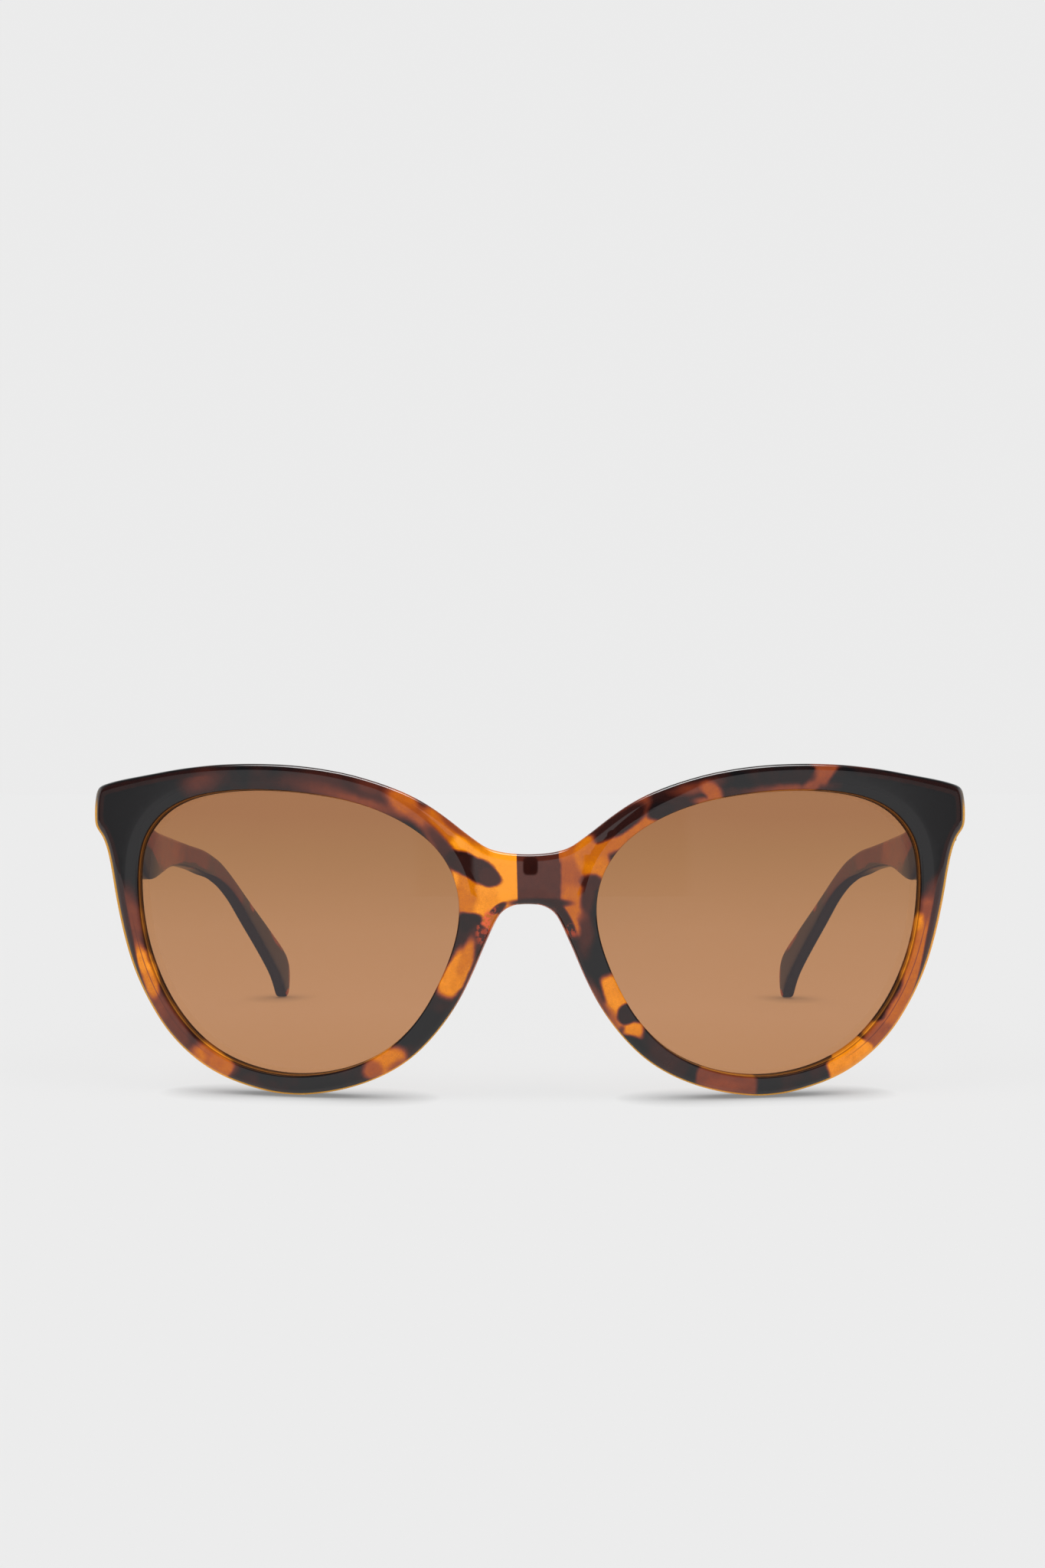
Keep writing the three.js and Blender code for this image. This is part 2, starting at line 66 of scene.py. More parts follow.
# Right half of the outer outline (x, z), from the top centre clockwise to the bottom centre
OUTER_HALF = [
 (0,38.6),(2.27,38.7),(4.47,39.0),(6.59,39.66),(8.36,40.9),(10.14,42.2),(11.89,43.6),
 (13.65,44.9),(15.48,46.15),(17.38,47.25),(19.34,48.2),(21.32,49.0),(23.39,49.75),(25.5,50.4),
 (27.63,51.0),(29.79,51.5),(31.97,51.9),(34.16,52.25),(36.36,52.5),(38.57,52.7),(40.78,52.82),
 (43,52.88),(45.22,52.9),(47.43,52.86),(49.65,52.78),(51.86,52.62),(54.06,52.4),(56.26,52.13),
 (58.45,51.8),(60.63,51.42),(62.81,50.98),(64.97,50.5),(67.12,50.0),(69.3,49.4),(70.2,49.0),
 (70.6,48.4),(70.8,47.6),(70.95,46),(70.95,44.5),(70.85,43.2),(70.6,42.4),(70.1,41.7),(69.5,40.9),
 (69.1,40.1),(68.7,39.1),(68.4,38.1),(68.1,37.0),(67.8,35.6),(67.5,34),(67.07,31.64),(66.63,29.47),
 (66.16,27.31),(65.64,25.15),(65.07,23.02),(64.41,20.9),(63.65,18.82),(62.76,16.8),(61.78,14.82),
 (60.67,12.9),(59.47,11.05),(58.1,9.31),(56.59,7.69),(54.94,6.21),(53.18,4.87),(51.3,3.68),
 (49.32,2.69),(47.27,1.87),(45.15,1.21),(43.02,0.66),(40.8,0.22),(38.2,0.0),(35.9,0.0),(33.7,0.24),
 (31.5,0.60),(29.39,1.08),(27.26,1.70),(25.18,2.46),(23.15,3.36),(21.2,4.41),(19.35,5.63),
 (17.63,7.02),(16.05,8.57),(14.57,10.22),(13.2,11.96),(11.94,13.78),(10.78,15.66),(9.75,17.61),
 (8.8,19.61),(7.92,21.64),(7.07,23.69),(6.2,25.6),(5.3,27.6),(4.1,29.55),(2.26,30.6),(0,30.82)]
# Right eye opening (x, z), anticlockwise
EYE_POINTS = [
 (62.50,26.80),(63.00,31.28),(63.08,36.07),(62.17,40.98),(59.18,44.91),(54.77,47.26),
 (49.99,48.27),(45.55,48.65),(41.45,48.63),(37.60,48.41),(33.87,47.96),(30.13,47.33),(26.31,46.36),
 (22.4,44.9),(18.45,42.85),(14.75,39.98),(12.0,36.1),(10.7,31.5),(10.93,26.8),(12.2,22.3),
 (13.97,18.2),(16.05,14.35),(18.65,10.9),(21.75,7.95),(25.45,5.75),(29.4,4.27),(33.48,3.44),
 (37.6,3.2),(41.7,3.6),(45.7,4.6),(49.48,6.22),(52.9,8.56),(55.8,11.55),(58.2,14.9),(60.13,18.6),
 (61.57,22.57)]
# Temple seen from the side (y, z): the top edge backwards, then the lower edge forwards
TEMPLE_TOP = [
 (20.55,48.2),(22.5,47.9),(25,46.8),(28,45.1),(31.5,43.1),(35,41.75),(39.5,40.95),
 (44.5,40.35),(56.5,38.9),(67,37.7),(77,36.6),(84,35.4),(91,33.9),(97,32.0),(103,29.8),(110,27.0),
 (118,23.8),(127,20.0),(136,16.0),(145,11.9),(149.5,9.3),(151.6,7.0),(152.2,4.6),(151.7,2.2),
 (150.7,0.55),(149.6,0.0)]
TEMPLE_LOW = [
 (148.2,0.6),(146.5,2.4),(143,5.4),(139,8.0),(132,12.1),(125,16.0),(117,20.2),
 (108,24.6),(99,28.0),(93,29.6),(88.3,30.6),(83,31.3),(79,31.8),(72.5,32.8),(67,33.5),(61,34.1),
 (55,34.45),(51,34.5),(47,34.3),(43.5,33.8),(40.3,33.4),(37,33.0),(33,33.0),(30,33.6),(27.5,35.0),
 (25,37.2),(23,39.0),(21.5,39.9),(20.55,40.1)]
# (y, x of the temple's inner face)
TEMPLE_INNER_X = [(20,65.0),(33,65.0),(60,64.2),(90,63.0),(120,60.6),(152.5,56.7)]
# (y, thickness of the temple across)
TEMPLE_THICKNESS = [(20.55,5.6),(24,5.3),(30,4.6),(35,4.1),(45,3.6),(60,3.3),(90,3.0),(120,3.0),
 (152.5,2.8)]
# Front outer edge of the front: (inset from the outline, depth behind the face)
FRONT_EDGE = [(1.20, 0.0), (1.12, 0.022), (1.0, 0.075), (0.86, 0.145), (0.70, 0.24), (0.54, 0.36),
              (0.38, 0.51), (0.24, 0.69), (0.12, 0.90), (0.04, 1.14), (0.0, 1.42)]
# Nose pad section: (inset from its outline, half thickness)
PAD_EDGE = [(2.9, 1.10), (2.2, 1.075), (1.6, 1.02), (1.1, 0.93), (0.7, 0.81), (0.4, 0.66),
            (0.17, 0.46), (0.04, 0.24), (0.0, 0.0)]


# -------------------------------------------------------------- loops in 2D
def ease(start, end, x):
    """Smooth step from 0 at start to 1 at end."""
    t = np.clip((np.asarray(x, float) - start) / (end - start), 0, 1)
    return t * t * (3 - 2 * t)


def smooth_loop(points, sigma, step):
    """Gaussian blur along a closed loop with even spacing; sigma in mm, one or one per point."""
    count = len(points)
    total = np.zeros_like(points)
    sigmas = np.broadcast_to(np.asarray(sigma, float), (count,))
    reach = int(ceil(3 * sigmas.max() / step))
    weight_sum = np.zeros(count)
    for k in range(-reach, reach + 1):
        weight = np.exp(-0.5 * (k * step / np.maximum(sigmas, 1e-3)) ** 2)
        total += np.roll(points, -k, 0) * weight[:, None]
        weight_sum += weight
    return total / weight_sum[:, None]


def resample(points, step):
    """Evenly spaced points along a closed loop."""
    closed = np.vstack([points, points[:1]])
    lengths = np.linalg.norm(np.diff(closed, axis=0), axis=1)
    along = np.concatenate([[0], np.cumsum(lengths)])
    places = np.linspace(0, along[-1], int(round(along[-1] / step)), endpoint=False)
    return np.stack([np.interp(places, along, closed[:, i]) for i in (0, 1)], 1)


def catmull(points, per):
    """Closed centripetal Catmull-Rom curve with `per` points for each span."""
    points = np.asarray(points, float)
    count = len(points)
    curve = []
    for i in range(count):
        before, start = points[i - 1], points[i]
        end, after = points[(i + 1) % count], points[(i + 2) % count]
        gap_in, gap, gap_out = [max(np.linalg.norm(v), 1e-6) ** 0.5
                                for v in (start - before, end - start, after - end)]
        tangent_in = (end - start) + gap * (
            (start - before) / gap_in - (end - before) / (gap_in + gap))
        tangent_out = (end - start) + gap * (
            (after - end) / gap_out - (after - start) / (gap + gap_out))
        for k in range(per):
            t = k / per
            curve.append((2*t**3 - 3*t*t + 1) * start + (t**3 - 2*t*t + t) * tangent_in
                         + (-2*t**3 + 3*t*t) * end + (t**3 - t*t) * tangent_out)
    return np.array(curve)


def normals(loop):
    """Outward unit normals of an anticlockwise loop."""
    tangent = np.roll(loop, -1, 0) - np.roll(loop, 1, 0)
    tangent /= np.maximum(np.linalg.norm(tangent, axis=1), 1e-9)[:, None]
    return np.stack([tangent[:, 1], -tangent[:, 0]], 1)


def cross(first, second):
    return first[:, 0] * second[:, 1] - first[:, 1] * second[:, 0]


def untangle(loop, window=26, passes=8):
    """Where an offset loop crosses itself round a tight corner, pulls the swallowtail to the
    crossing point. Only segments less than `window` apart are compared."""
    for _ in range(passes):
        hit = None
        segment = np.roll(loop, -1, 0) - loop
        for gap in range(2, window):
            later = np.roll(loop, -gap, 0)
            later_segment = np.roll(loop, -gap - 1, 0) - later
            det = cross(segment, later_segment)
            valid = np.abs(det) > 1e-12
            det = np.where(valid, det, 1)
            t = cross(later - loop, later_segment) / det
            u = cross(later - loop, segment) / det
            for share in (t, u):
                valid = valid & (share > 1e-6) & (share < 1 - 1e-6)
            found = np.where(valid)[0]
            if len(found):
                i = found[0]
                hit = (i, gap, loop[i] + segment[i] * t[i])
        if hit is None:
            break
        i, gap, crossing = hit
        for k in range(1, gap + 1):
            loop[(i + k) % len(loop)] = crossing
    return loop


def offset(loop, distance):
    """Moves a loop outwards by one distance or one per point."""
    return untangle(loop + normals(loop) * np.reshape(distance, (-1, 1)))


def inside(loop, points):
    x, y = points[:, 0], points[:, 1]
    result = np.zeros(len(points), bool)
    for (x0, y0), (x1, y1) in zip(loop, np.roll(loop, -1, 0)):
        if y0 == y1:
            continue
        spans = (y0 > y) != (y1 > y)
        result ^= spans & (x < (x1 - x0) * (y - y0) / (y1 - y0) + x0)
    return result


def distance_to(loop, points, chunk=64):
    """Distance from each point to the nearest loop vertex, in chunks to save memory."""
    nearest = np.full(len(points), 1e9)
    for k in range(0, len(loop), chunk):
        gaps = np.linalg.norm(points[:, None] - loop[None, k:k + chunk], axis=2)
        nearest = np.minimum(nearest, gaps.min(1))
    return nearest


# ------------------------------------------------------------------- meshes
class Skin:
    """Collects the vertices and faces of one closed surface, in mm in the design frame."""
    def __init__(self):
        self.vertices, self.faces = [], []

    def add(self, points):
        first = len(self.vertices)
        self.vertices += [tuple(p) for p in points]
        return list(range(first, first + len(points)))

    def loft(self, rings, flip=False):
        """Joins each closed ring of vertices to the next."""
        for pair in zip(rings[:-1], rings[1:]):
            one, two = reversed(pair) if flip else pair
            count = len(one)
            for i in range(count):
                j = (i + 1) % count
                self.faces.append((one[i], one[j], two[j], two[i]))

    def fill(self, loops, rings, spacing, place, flip):
        """Triangulates inside loops[0] and outside the others, over evenly spread points.
        rings holds the loops' vertex numbers; place lifts 2D points onto the surface."""
        low, high = loops[0].min(0), loops[0].max(0)
        xs = np.arange(low[0], high[0], spacing)
        ys = np.arange(low[1], high[1], spacing * 0.866)
        rows = [xs + (spacing / 2 if row % 2 else 0) for row in range(len(ys))]
        grid = np.stack([np.concatenate(rows), np.repeat(ys, len(xs))], 1)

        def covered(points):
            result = inside(loops[0], points)
            for hole in loops[1:]:
                result &= ~inside(hole, points)
            return result

        grid = grid[covered(grid)]
        for loop in loops:
            grid = grid[distance_to(loop, grid) > spacing * 0.62]
        base = np.vstack(list(loops) + [grid])
        ids = [i for ring in rings for i in ring] + self.add(place(grid))
        edges, start = [], 0
        for loop in loops:
            count = len(loop)
            edges += [(start + i, start + (i + 1) % count) for i in range(count)
                      if np.linalg.norm(loop[i] - loop[(i + 1) % count]) > 1e-7]
            start += count
        points, _, triangles, sources, _, _ = delaunay_2d_cdt(
            [Vector(p) for p in base], edges, [], 0, 1e-6, True)
        source = [s[0] if s else None for s in sources]
        centres = np.array([[sum(points[i][axis] for i in t) / 3 for axis in (0, 1)]
                            for t in triangles])
        for triangle, keep in zip(triangles, covered(centres)):
            if not keep or any(source[i] is None for i in triangle):
                continue
            face = [ids[source[i]] for i in triangle]
            self.faces.append(tuple(reversed(face)) if flip else tuple(face))


def link_object(name, mesh):
    made = bpy.data.objects.new(name, mesh)
    bpy.context.scene.collection.objects.link(made)
    return made


def make_object(name, skin):
    mesh = bpy.data.meshes.new(name)
    points = np.array(skin.vertices, float) * MM
    points[:, 1] += SHIFT_Y * MM
    mesh.from_pydata([tuple(p) for p in points], [], skin.faces)
    work = bmesh.new()
    work.from_mesh(mesh)
    bmesh.ops.remove_doubles(work, verts=work.verts, dist=2e-6)
    bmesh.ops.dissolve_degenerate(work, edges=work.edges, dist=1e-7)
    bmesh.ops.recalc_face_normals(work, faces=work.faces)
    work.normal_update()
    for face in work.faces:
        face.smooth = True
    work.to_mesh(mesh)
    work.free()
    return link_object(name, mesh)


def mirror_object(source, name):
    mesh = source.data.copy()
    mesh.name = name
    mesh.transform(Matrix.Scale(-1, 4, (1, 0, 0)))
    mesh.flip_normals()
    return link_object(name, mesh)


# ------------------------------------------- from flat outlines to the front
def bow(points):
    """How far the bowed face lies behind its crown at flat points (x, z)."""
    x, z = points.T
    return (x * x + (z - WRAP_Z) ** 2) / (2 * WRAP_RADIUS)


def wrap(points, depth):
    """Places flat points (x, z) at a depth behind the bowed face, square to it except at the
    outer ends, where depth runs straight back."""
    x, z = points.T
    lean = (1 - ease(60, 68, np.abs(x))) / WRAP_RADIUS
    return np.stack([x * (1 - lean * depth), bow(points) + depth,
                     z - lean * depth * (z - WRAP_Z)], 1)


def thickness_at(points):
    """Thickness of the front: the rim's, or back to the flat plane of the end piece."""
    x, z = points.T
    end = ease(62.1, 63.5, np.abs(x)) * ease(39.3, 40.7, z)
    return FRONT_THICKNESS * (1 - end) + (END_PIECE_Y - bow(points)) * end


def outer_outline():
    """Smoothed outline, least so at the upper outer corners and under the bridge."""
    step = 0.15
    half = np.array(OUTER_HALF, float)
    clockwise = np.vstack([half, half[1:-1][::-1] * [-1, 1]])
    raw = resample(catmull(clockwise[::-1], 6), step)
    across, z = np.abs(raw[:, 0]), raw[:, 1]
    corner = ease(66.5, 68.5, across) * ease(36.5, 38.5, z)
    arch = (1 - ease(4, 10, across)) * (1 - ease(32, 36, z))
    sigma = np.maximum(0.9 - 0.62 * corner - 0.35 * arch, 0.25)
    return resample(smooth_loop(raw, sigma, step), OUTLINE_STEP)


def eye_outline():
    step = 0.2
    raw = resample(catmull(EYE_POINTS, 10), step)
    return resample(smooth_loop(raw, 1.6, step), OUTLINE_STEP)


outer = outer_outline()
eye = eye_outline()


# -------------------------------------------------------------- front frame
def eye_profile():
    """Section of the rim round an eye, front to back: (distance out from the opening, depth).
    A shallow bevel, its rounded edge, the wall with the lens groove, and the rear rounding.
    Returns it with the number of rings in the rear rounding."""
    bevel = np.clip(distance_to(outer, eye) - 1.85, 0.95, 2.1)
    bevel = smooth_loop(bevel[:, None], 3.0, OUTLINE_STEP)[:, 0]
    slope = EYE_BEVEL_SLOPE
    edge = slope * (bevel - 0.3)
    profile = [(bevel, 0), (bevel - 0.12, slope * 0.12 * 0.6),
               (bevel * 0.55 + 0.15, slope * (bevel * 0.45 - 0.15)),
               (0.30, edge), (0.20, edge + 0.03), (0.10, edge + 0.095),
               (0.03, edge + 0.19), (0, edge + 0.32), (0, 1.2), (0, 1.9), (0, 2.24)]
    profile += [(0.06, 2.30), (0.5, 2.31), (0.97, 2.32), (0.97, 4.20), (0.5, 4.21), (0.06, 4.22)]
    wall_end = FRONT_THICKNESS - EYE_REAR_RADIUS
    profile += [(0, 4.28), (0, wall_end)]
    steps = 5
    for k in range(1, steps + 1):
        angle = pi / 2 * k / steps
        profile.append((EYE_REAR_RADIUS * (1 - cos(angle)),
                        wall_end + EYE_REAR_RADIUS * sin(angle)))
    return profile, steps


def build_front():
    skin = Skin()
    loops = [offset(outer, -inset) for inset, _ in FRONT_EDGE]
    rings = [skin.add(wrap(loop, depth)) for loop, (_, depth) in zip(loops, FRONT_EDGE)]
    # the outer side, then its rear rounding, which is tighter at the end pieces
    at_end = ease(66.0, 68.0, np.abs(outer[:, 0])) * ease(37.5, 39.5, outer[:, 1])
    radius = REAR_EDGE_RADIUS * (1 - 0.72 * at_end)
    side_start = FRONT_EDGE[-1][1]
    for share in (0.34, 0.68, 1.0):
        depth = side_start + (thickness_at(outer) - radius - side_start) * share
        rings.append(skin.add(wrap(outer, depth)))
    round_steps = 6
    for k in range(1, round_steps + 1):
        angle = pi / 2 * k / round_steps
        rear = offset(outer, -radius * (1 - cos(angle)))
        rings.append(skin.add(wrap(rear, thickness_at(rear) - radius + radius * sin(angle))))
    skin.loft(rings)
    face_loops, face_rings = [loops[0]], [rings[0]]
    rear_loops, rear_rings = [rear], [rings[-1]]

    profile, rear_count = eye_profile()
    for side in (1, -1):
        loops, rings = [], []
        for i, (distance, depth) in enumerate(profile):
            loop = offset(eye, distance)
            if i >= len(profile) - rear_count:
                depth = depth + (thickness_at(loop) - FRONT_THICKNESS)
            loops.append(loop * [side, 1])
            rings.append(skin.add(wrap(loops[-1], depth)))
        skin.loft(rings)
        face_loops.append(loops[0])
        face_rings.append(rings[0])
        rear_loops.append(loops[-1])
        rear_rings.append(rings[-1])
    skin.fill(face_loops, face_rings, 1.0, lambda p: wrap(p, 0.0), flip=False)
    skin.fill(rear_loops, rear_rings, 0.9, lambda p: wrap(p, thickness_at(p)), flip=True)
    shell = make_object("front_shell", skin)
    # distance of each vertex from the outer edge, used by the painted dark reflection and the
    # joint line along it
    points = np.array([v.co for v in shell.data.vertices]) * 1000.0
    rim = np.minimum(distance_to(outer, points[:, [0, 2]]), 6.0)
    attribute = shell.data.attributes.new("rim", "FLOAT", "POINT")
    attribute.data.foreach_set("value", rim.astype(np.float32))
    return shell


def build_lens():
    """A bowed plate whose edge sits in the rim's groove."""
    skin = Skin()
    edge = offset(eye, 0.88)
    front, back, radius = 2.36, 4.14, 0.35      # depths of the faces, rounding of the edge
    angles = np.linspace(0, pi / 2, 5)
    profile = [(inset, front) for inset in (2.9, 2.3, 1.9, 1.4, 0.9)]
    profile += [(radius * (1 - sin(a)), front + radius * (1 - cos(a))) for a in angles]
    profile += [(radius * (1 - cos(a)), back - radius * (1 - sin(a))) for a in angles]
    profile += [(1.0, back), (2.0, back)]
    loops = [edge - normals(edge) * inset for inset, _ in profile]
    rings = [skin.add(wrap(loop, depth)) for loop, (_, depth) in zip(loops, profile)]
    skin.loft(rings)
    skin.fill([loops[0]], [rings[0]], 2.2, lambda p: wrap(p, front), flip=False)
    skin.fill([loops[-1]], [rings[-1]], 2.2, lambda p: wrap(p, back), flip=True)
    return make_object("lens_glass_right", skin)


# ------------------------------------------------------------------ temples
def smooth_table(rows, sigma):
    """Resamples (y, value) rows at even steps and blurs them, except near the front end."""
    step, reach = 0.5, 30
    first, last = rows[0][0], rows[-1][0]
    ys = np.arange(first - 12, last + 12, step)
    values = np.interp(ys, *zip(*rows))
    kernel = np.exp(-0.5 * (np.arange(-reach, reach + 1) * step / sigma) ** 2)
    padded = np.pad(values, reach, mode="edge")
    blurred = np.convolve(padded, kernel / kernel.sum(), mode="valid")
    return ys, np.where(ys < first + 4, values, blurred)


def build_temple():
    skin = Skin()
    inner_table = smooth_table(TEMPLE_INNER_X, 5.0)
    thickness_table = smooth_table(TEMPLE_THICKNESS, 2.0)

    def thickness(points):
        return np.interp(points[:, 0], *thickness_table)

    def place(points, from_inner):
        x = np.interp(points[:, 0], *inner_table) + from_inner
        return np.stack([x, points[:, 0], points[:, 1]], 1)

    fine, step = 0.2, 0.5
    curve = catmull(TEMPLE_TOP + TEMPLE_LOW, 8)
    raw = resample(curve[curve[:, 0] >= 20.5], fine)
    # less smoothing at the cut front end and at the tip
    front_end = 1 - ease(20.9, 23.5, raw[:, 0])
    tip = ease(146.0, 149.0, raw[:, 0])
    smooth = smooth_loop(raw, 1.3 - 1.1 * front_end - 0.8 * tip, fine)
    smooth[:, 0] = np.maximum(smooth[:, 0], TEMPLE_FRONT_Y)
    outline = resample(smooth[::-1], step)

    cut = 1 - ease(20.6, 22.2, outline[:, 0])
    radius = np.minimum(0.80, thickness(outline) * 0.40) * (1 - 0.7 * cut)
    radius = smooth_loop(radius[:, None], 0.8, step)[:, 0]
    loops, rings = [], []

    def add_ring(inset, depth, from_outer=False):
        loop = offset(outline, -inset)
        loops.append(loop)
        rings.append(skin.add(place(loop, thickness(loop) - depth if from_outer else depth)))

    round_steps = 6
    angles = [pi / 2 * k / round_steps for k in range(round_steps + 1)]
    for angle in angles:
        add_ring(radius * (1 - sin(angle)), radius * (1 - cos(angle)))
    add_ring(0 * radius, 0.5 * thickness(outline))
    for angle in angles:
        add_ring(radius * (1 - cos(angle)), radius * (1 - sin(angle)), from_outer=True)
    skin.loft(rings)
    skin.fill([loops[0]], [rings[0]], 1.3, lambda p: place(p, 0), flip=True)
    skin.fill([loops[-1]], [rings[-1]], 1.3, lambda p: place(p, thickness(p)), flip=False)
    return make_object("temple_arm_right", skin)


# ----------------------------------------------------------------- nose pads
def bezier(start, handle_a, handle_b, end, count=14):
    start, handle_a, handle_b, end = map(np.array, (start, handle_a, handle_b, end))
    t = np.linspace(0, 1, count, endpoint=False)[:, None]
    return (1-t)**3*start + 3*(1-t)**2*t*handle_a + 3*(1-t)*t*t*handle_b + t**3*end


def build_pad():
    """A domed leaf beside the nose, its root sunk a little into the back of the rim."""
    skin = Skin()
    points = np.vstack([
        np.linspace([-7.0, -1.6], [7.0, -1.6], 30, endpoint=False),
        bezier((7.0, -1.6), (7.6, 1.5), (6.4, 4.2), (3.2, 5.6)),
        bezier((3.2, 5.6), (0.5, 6.8), (-2.6, 7.2), (-4.8, 5.8)),
        bezier((-4.8, 5.8), (-6.6, 4.6), (-7.4, 1.6), (-7.0, -1.6))])
    outline = resample(smooth_loop(resample(points, 0.15), 0.55, 0.15), 0.35)
    centre = np.array([10.35, 6.0, 19.6])
    up = np.array([-0.457, 0, 0.889])           # along the rim beside the nose
    up /= np.linalg.norm(up)
    outward = np.array([0.889, 0, 0.457])       # away from the nose
    outward /= np.linalg.norm(outward)
    splay = radians(14.0)
    back = np.array([0, cos(splay), 0]) + outward * sin(splay)
    face = np.cross(up, back)

    def place(points, height):
        return centre + points[:, :1] * up + points[:, 1:2] * back + height * face

    profile = [(inset, -height) for inset, height in PAD_EDGE] + PAD_EDGE[-2::-1]
    loops = [offset(outline, -inset) for inset, _ in profile]
    rings = [skin.add(place(loop, height)) for loop, (_, height) in zip(loops, profile)]
    skin.loft(rings, flip=True)
    half = PAD_EDGE[0][1]
    skin.fill([loops[0]], [rings[0]], 0.8, lambda p: place(p, -half), flip=False)
    skin.fill([loops[-1]], [rings[-1]], 0.8, lambda p: place(p, half), flip=True)
    return make_object("nose_rest_right", skin)


front = build_front()
lens_right = build_lens()
temple_right = build_temple()
pad_right = build_pad()
lens_left = mirror_object(lens_right, "lens_glass_left")
temple_left = mirror_object(temple_right, "temple_arm_left")
pad_left = mirror_object(pad_right, "nose_rest_left")


# ---------------------------------------------------------------- node tools
class Field:
    """An output socket. Arithmetic on it adds math nodes to its tree."""
    def __init__(self, tree, socket):
        self.tree, self.socket = tree, socket

    def __add__(self, other):
        return self.tree.math("ADD", self, other)

    def __radd__(self, other):
        return self.tree.math("ADD", other, self)

    def __sub__(self, other):
        return self.tree.math("SUBTRACT", self, other)

    def __rsub__(self, other):
        return self.tree.math("SUBTRACT", other, self)

    def __mul__(self, other):
        return self.tree.math("MULTIPLY", self, other)

    def __pow__(self, other):
        return self.tree.math("POWER", self, other)

    def __abs__(self):
        return self.tree.math("ABSOLUTE", self)

    def larger(self, other):
        return self.tree.math("MAXIMUM", self, other)

    def ease(self, start, end, low, high, kind="SMOOTHSTEP"):
        """low at start, high at end, held beyond them."""
        return self.tree.value("ShaderNodeMapRange", {0: self, 1: start, 2: end, 3: low, 4: high},
                               interpolation_type=kind)

    def linear(self, start, end, low, high):
        return self.ease(start, end, low, high, "LINEAR")

    def rise(self, start, end, top=1.0):
        return self.ease(start, end, 0.0, top)

    def fall(self, start, end, top=1.0):
        return self.ease(start, end, top, 0.0)


class Tree:
    """Short calls for building a node tree. All but node and put return fields."""
    def __init__(self, node_tree):
        self.node_tree = node_tree
        node_tree.nodes.clear()

    def put(self, socket, value):
        if isinstance(value, Field):
            self.node_tree.links.new(value.socket, socket)
        elif isinstance(value, tuple) and len(value) == 3 and len(socket.default_value) == 4:
            socket.default_value = (*value, 1.0)
        else:
            socket.default_value = value

    def node(self, kind, inputs=None, **props):
        made = self.node_tree.nodes.new(kind)
        for key, value in props.items():
            setattr(made, key, value)
        for key, value in (inputs or {}).items():
            self.put(made.inputs[key], value)
        return made

    def value(self, kind, inputs=None, output=0, **props):
        return Field(self, self.node(kind, inputs, **props).outputs[output])

    def values(self, kind, *outputs):
        """Several outputs of one node."""
        made = self.node(kind)
        return [Field(self, made.outputs[key]) for key in outputs]

    def math(self, operation, first, second=None):
        inputs = {0: first} if second is None else {0: first, 1: second}
        return self.value("ShaderNodeMath", inputs, operation=operation)

    def vector(self, operation, first, second=None):
        inputs = {0: first} if second is None else {0: first, 1: second}
        output = "Value" if operation in ("LENGTH", "DOT_PRODUCT") else "Vector"
        return self.value("ShaderNodeVectorMath", inputs, output, operation=operation)

    def scaled(self, vector, scale):
        return self.value("ShaderNodeVectorMath", {0: vector, "Scale": scale}, "Vector",
                          operation="SCALE")

    def mix(self, factor, low, high):
        return self.value("ShaderNodeMix", {0: factor, 2: low, 3: high}, data_type="FLOAT")

    def mix_color(self, factor, low, high):
        return self.value("ShaderNodeMix", {0: factor, 6: low, 7: high}, 2, data_type="RGBA")

    def mix_shader(self, factor, low, high):
        return self.value("ShaderNodeMixShader", {0: factor, 1: low, 2: high})

    def noise(self, vector, scale, detail=2.0, rough=0.5, distortion=0.0, output="Fac"):
        inputs = {"Vector": vector, "Scale": scale, "Detail": detail, "Roughness": rough,
                  "Distortion": distortion}
        return self.value("ShaderNodeTexNoise", inputs, output)

    def wobble(self, vector, scale, detail, amount):
        """A random shift of at most half of amount either way."""
        color = self.noise(vector, scale, detail, output="Color")
        return self.scaled(self.vector("SUBTRACT", color, (0.5, 0.5, 0.5)), amount)

    def split(self, vector):
        made = self.node("ShaderNodeSeparateXYZ", {0: vector})
        return [Field(self, socket) for socket in made.outputs]

    def join(self, x, y, z=0.0):
        return self.value("ShaderNodeCombineXYZ", {0: x, 1: y, 2: z})

    def color_ramp(self, factor, stops):
        made = self.node("ShaderNodeValToRGB", {0: factor})
        elements = made.color_ramp.elements
        while len(elements) < len(stops):
            elements.new(0.5)
        for element, (position, color) in zip(elements, stops):
            element.position = position
            element.color = (*color, 1.0)
        return Field(self, made.outputs[0])

    def coords(self, output):
        return self.value("ShaderNodeTexCoord", output=output)

    def position_mm(self):
        """Object coordinates in the design frame, in mm."""
        scaled = self.scaled(self.coords("Object"), 1000.0)
        return self.vector("SUBTRACT", scaled, (0.0, SHIFT_Y, 0.0))

    def finish(self, shader, kind="ShaderNodeOutputMaterial"):
        self.node(kind, {"Surface": shader})


def new_material(name):
    made = bpy.data.materials.new(name)
    made.use_nodes = True
    return made, Tree(made.node_tree)


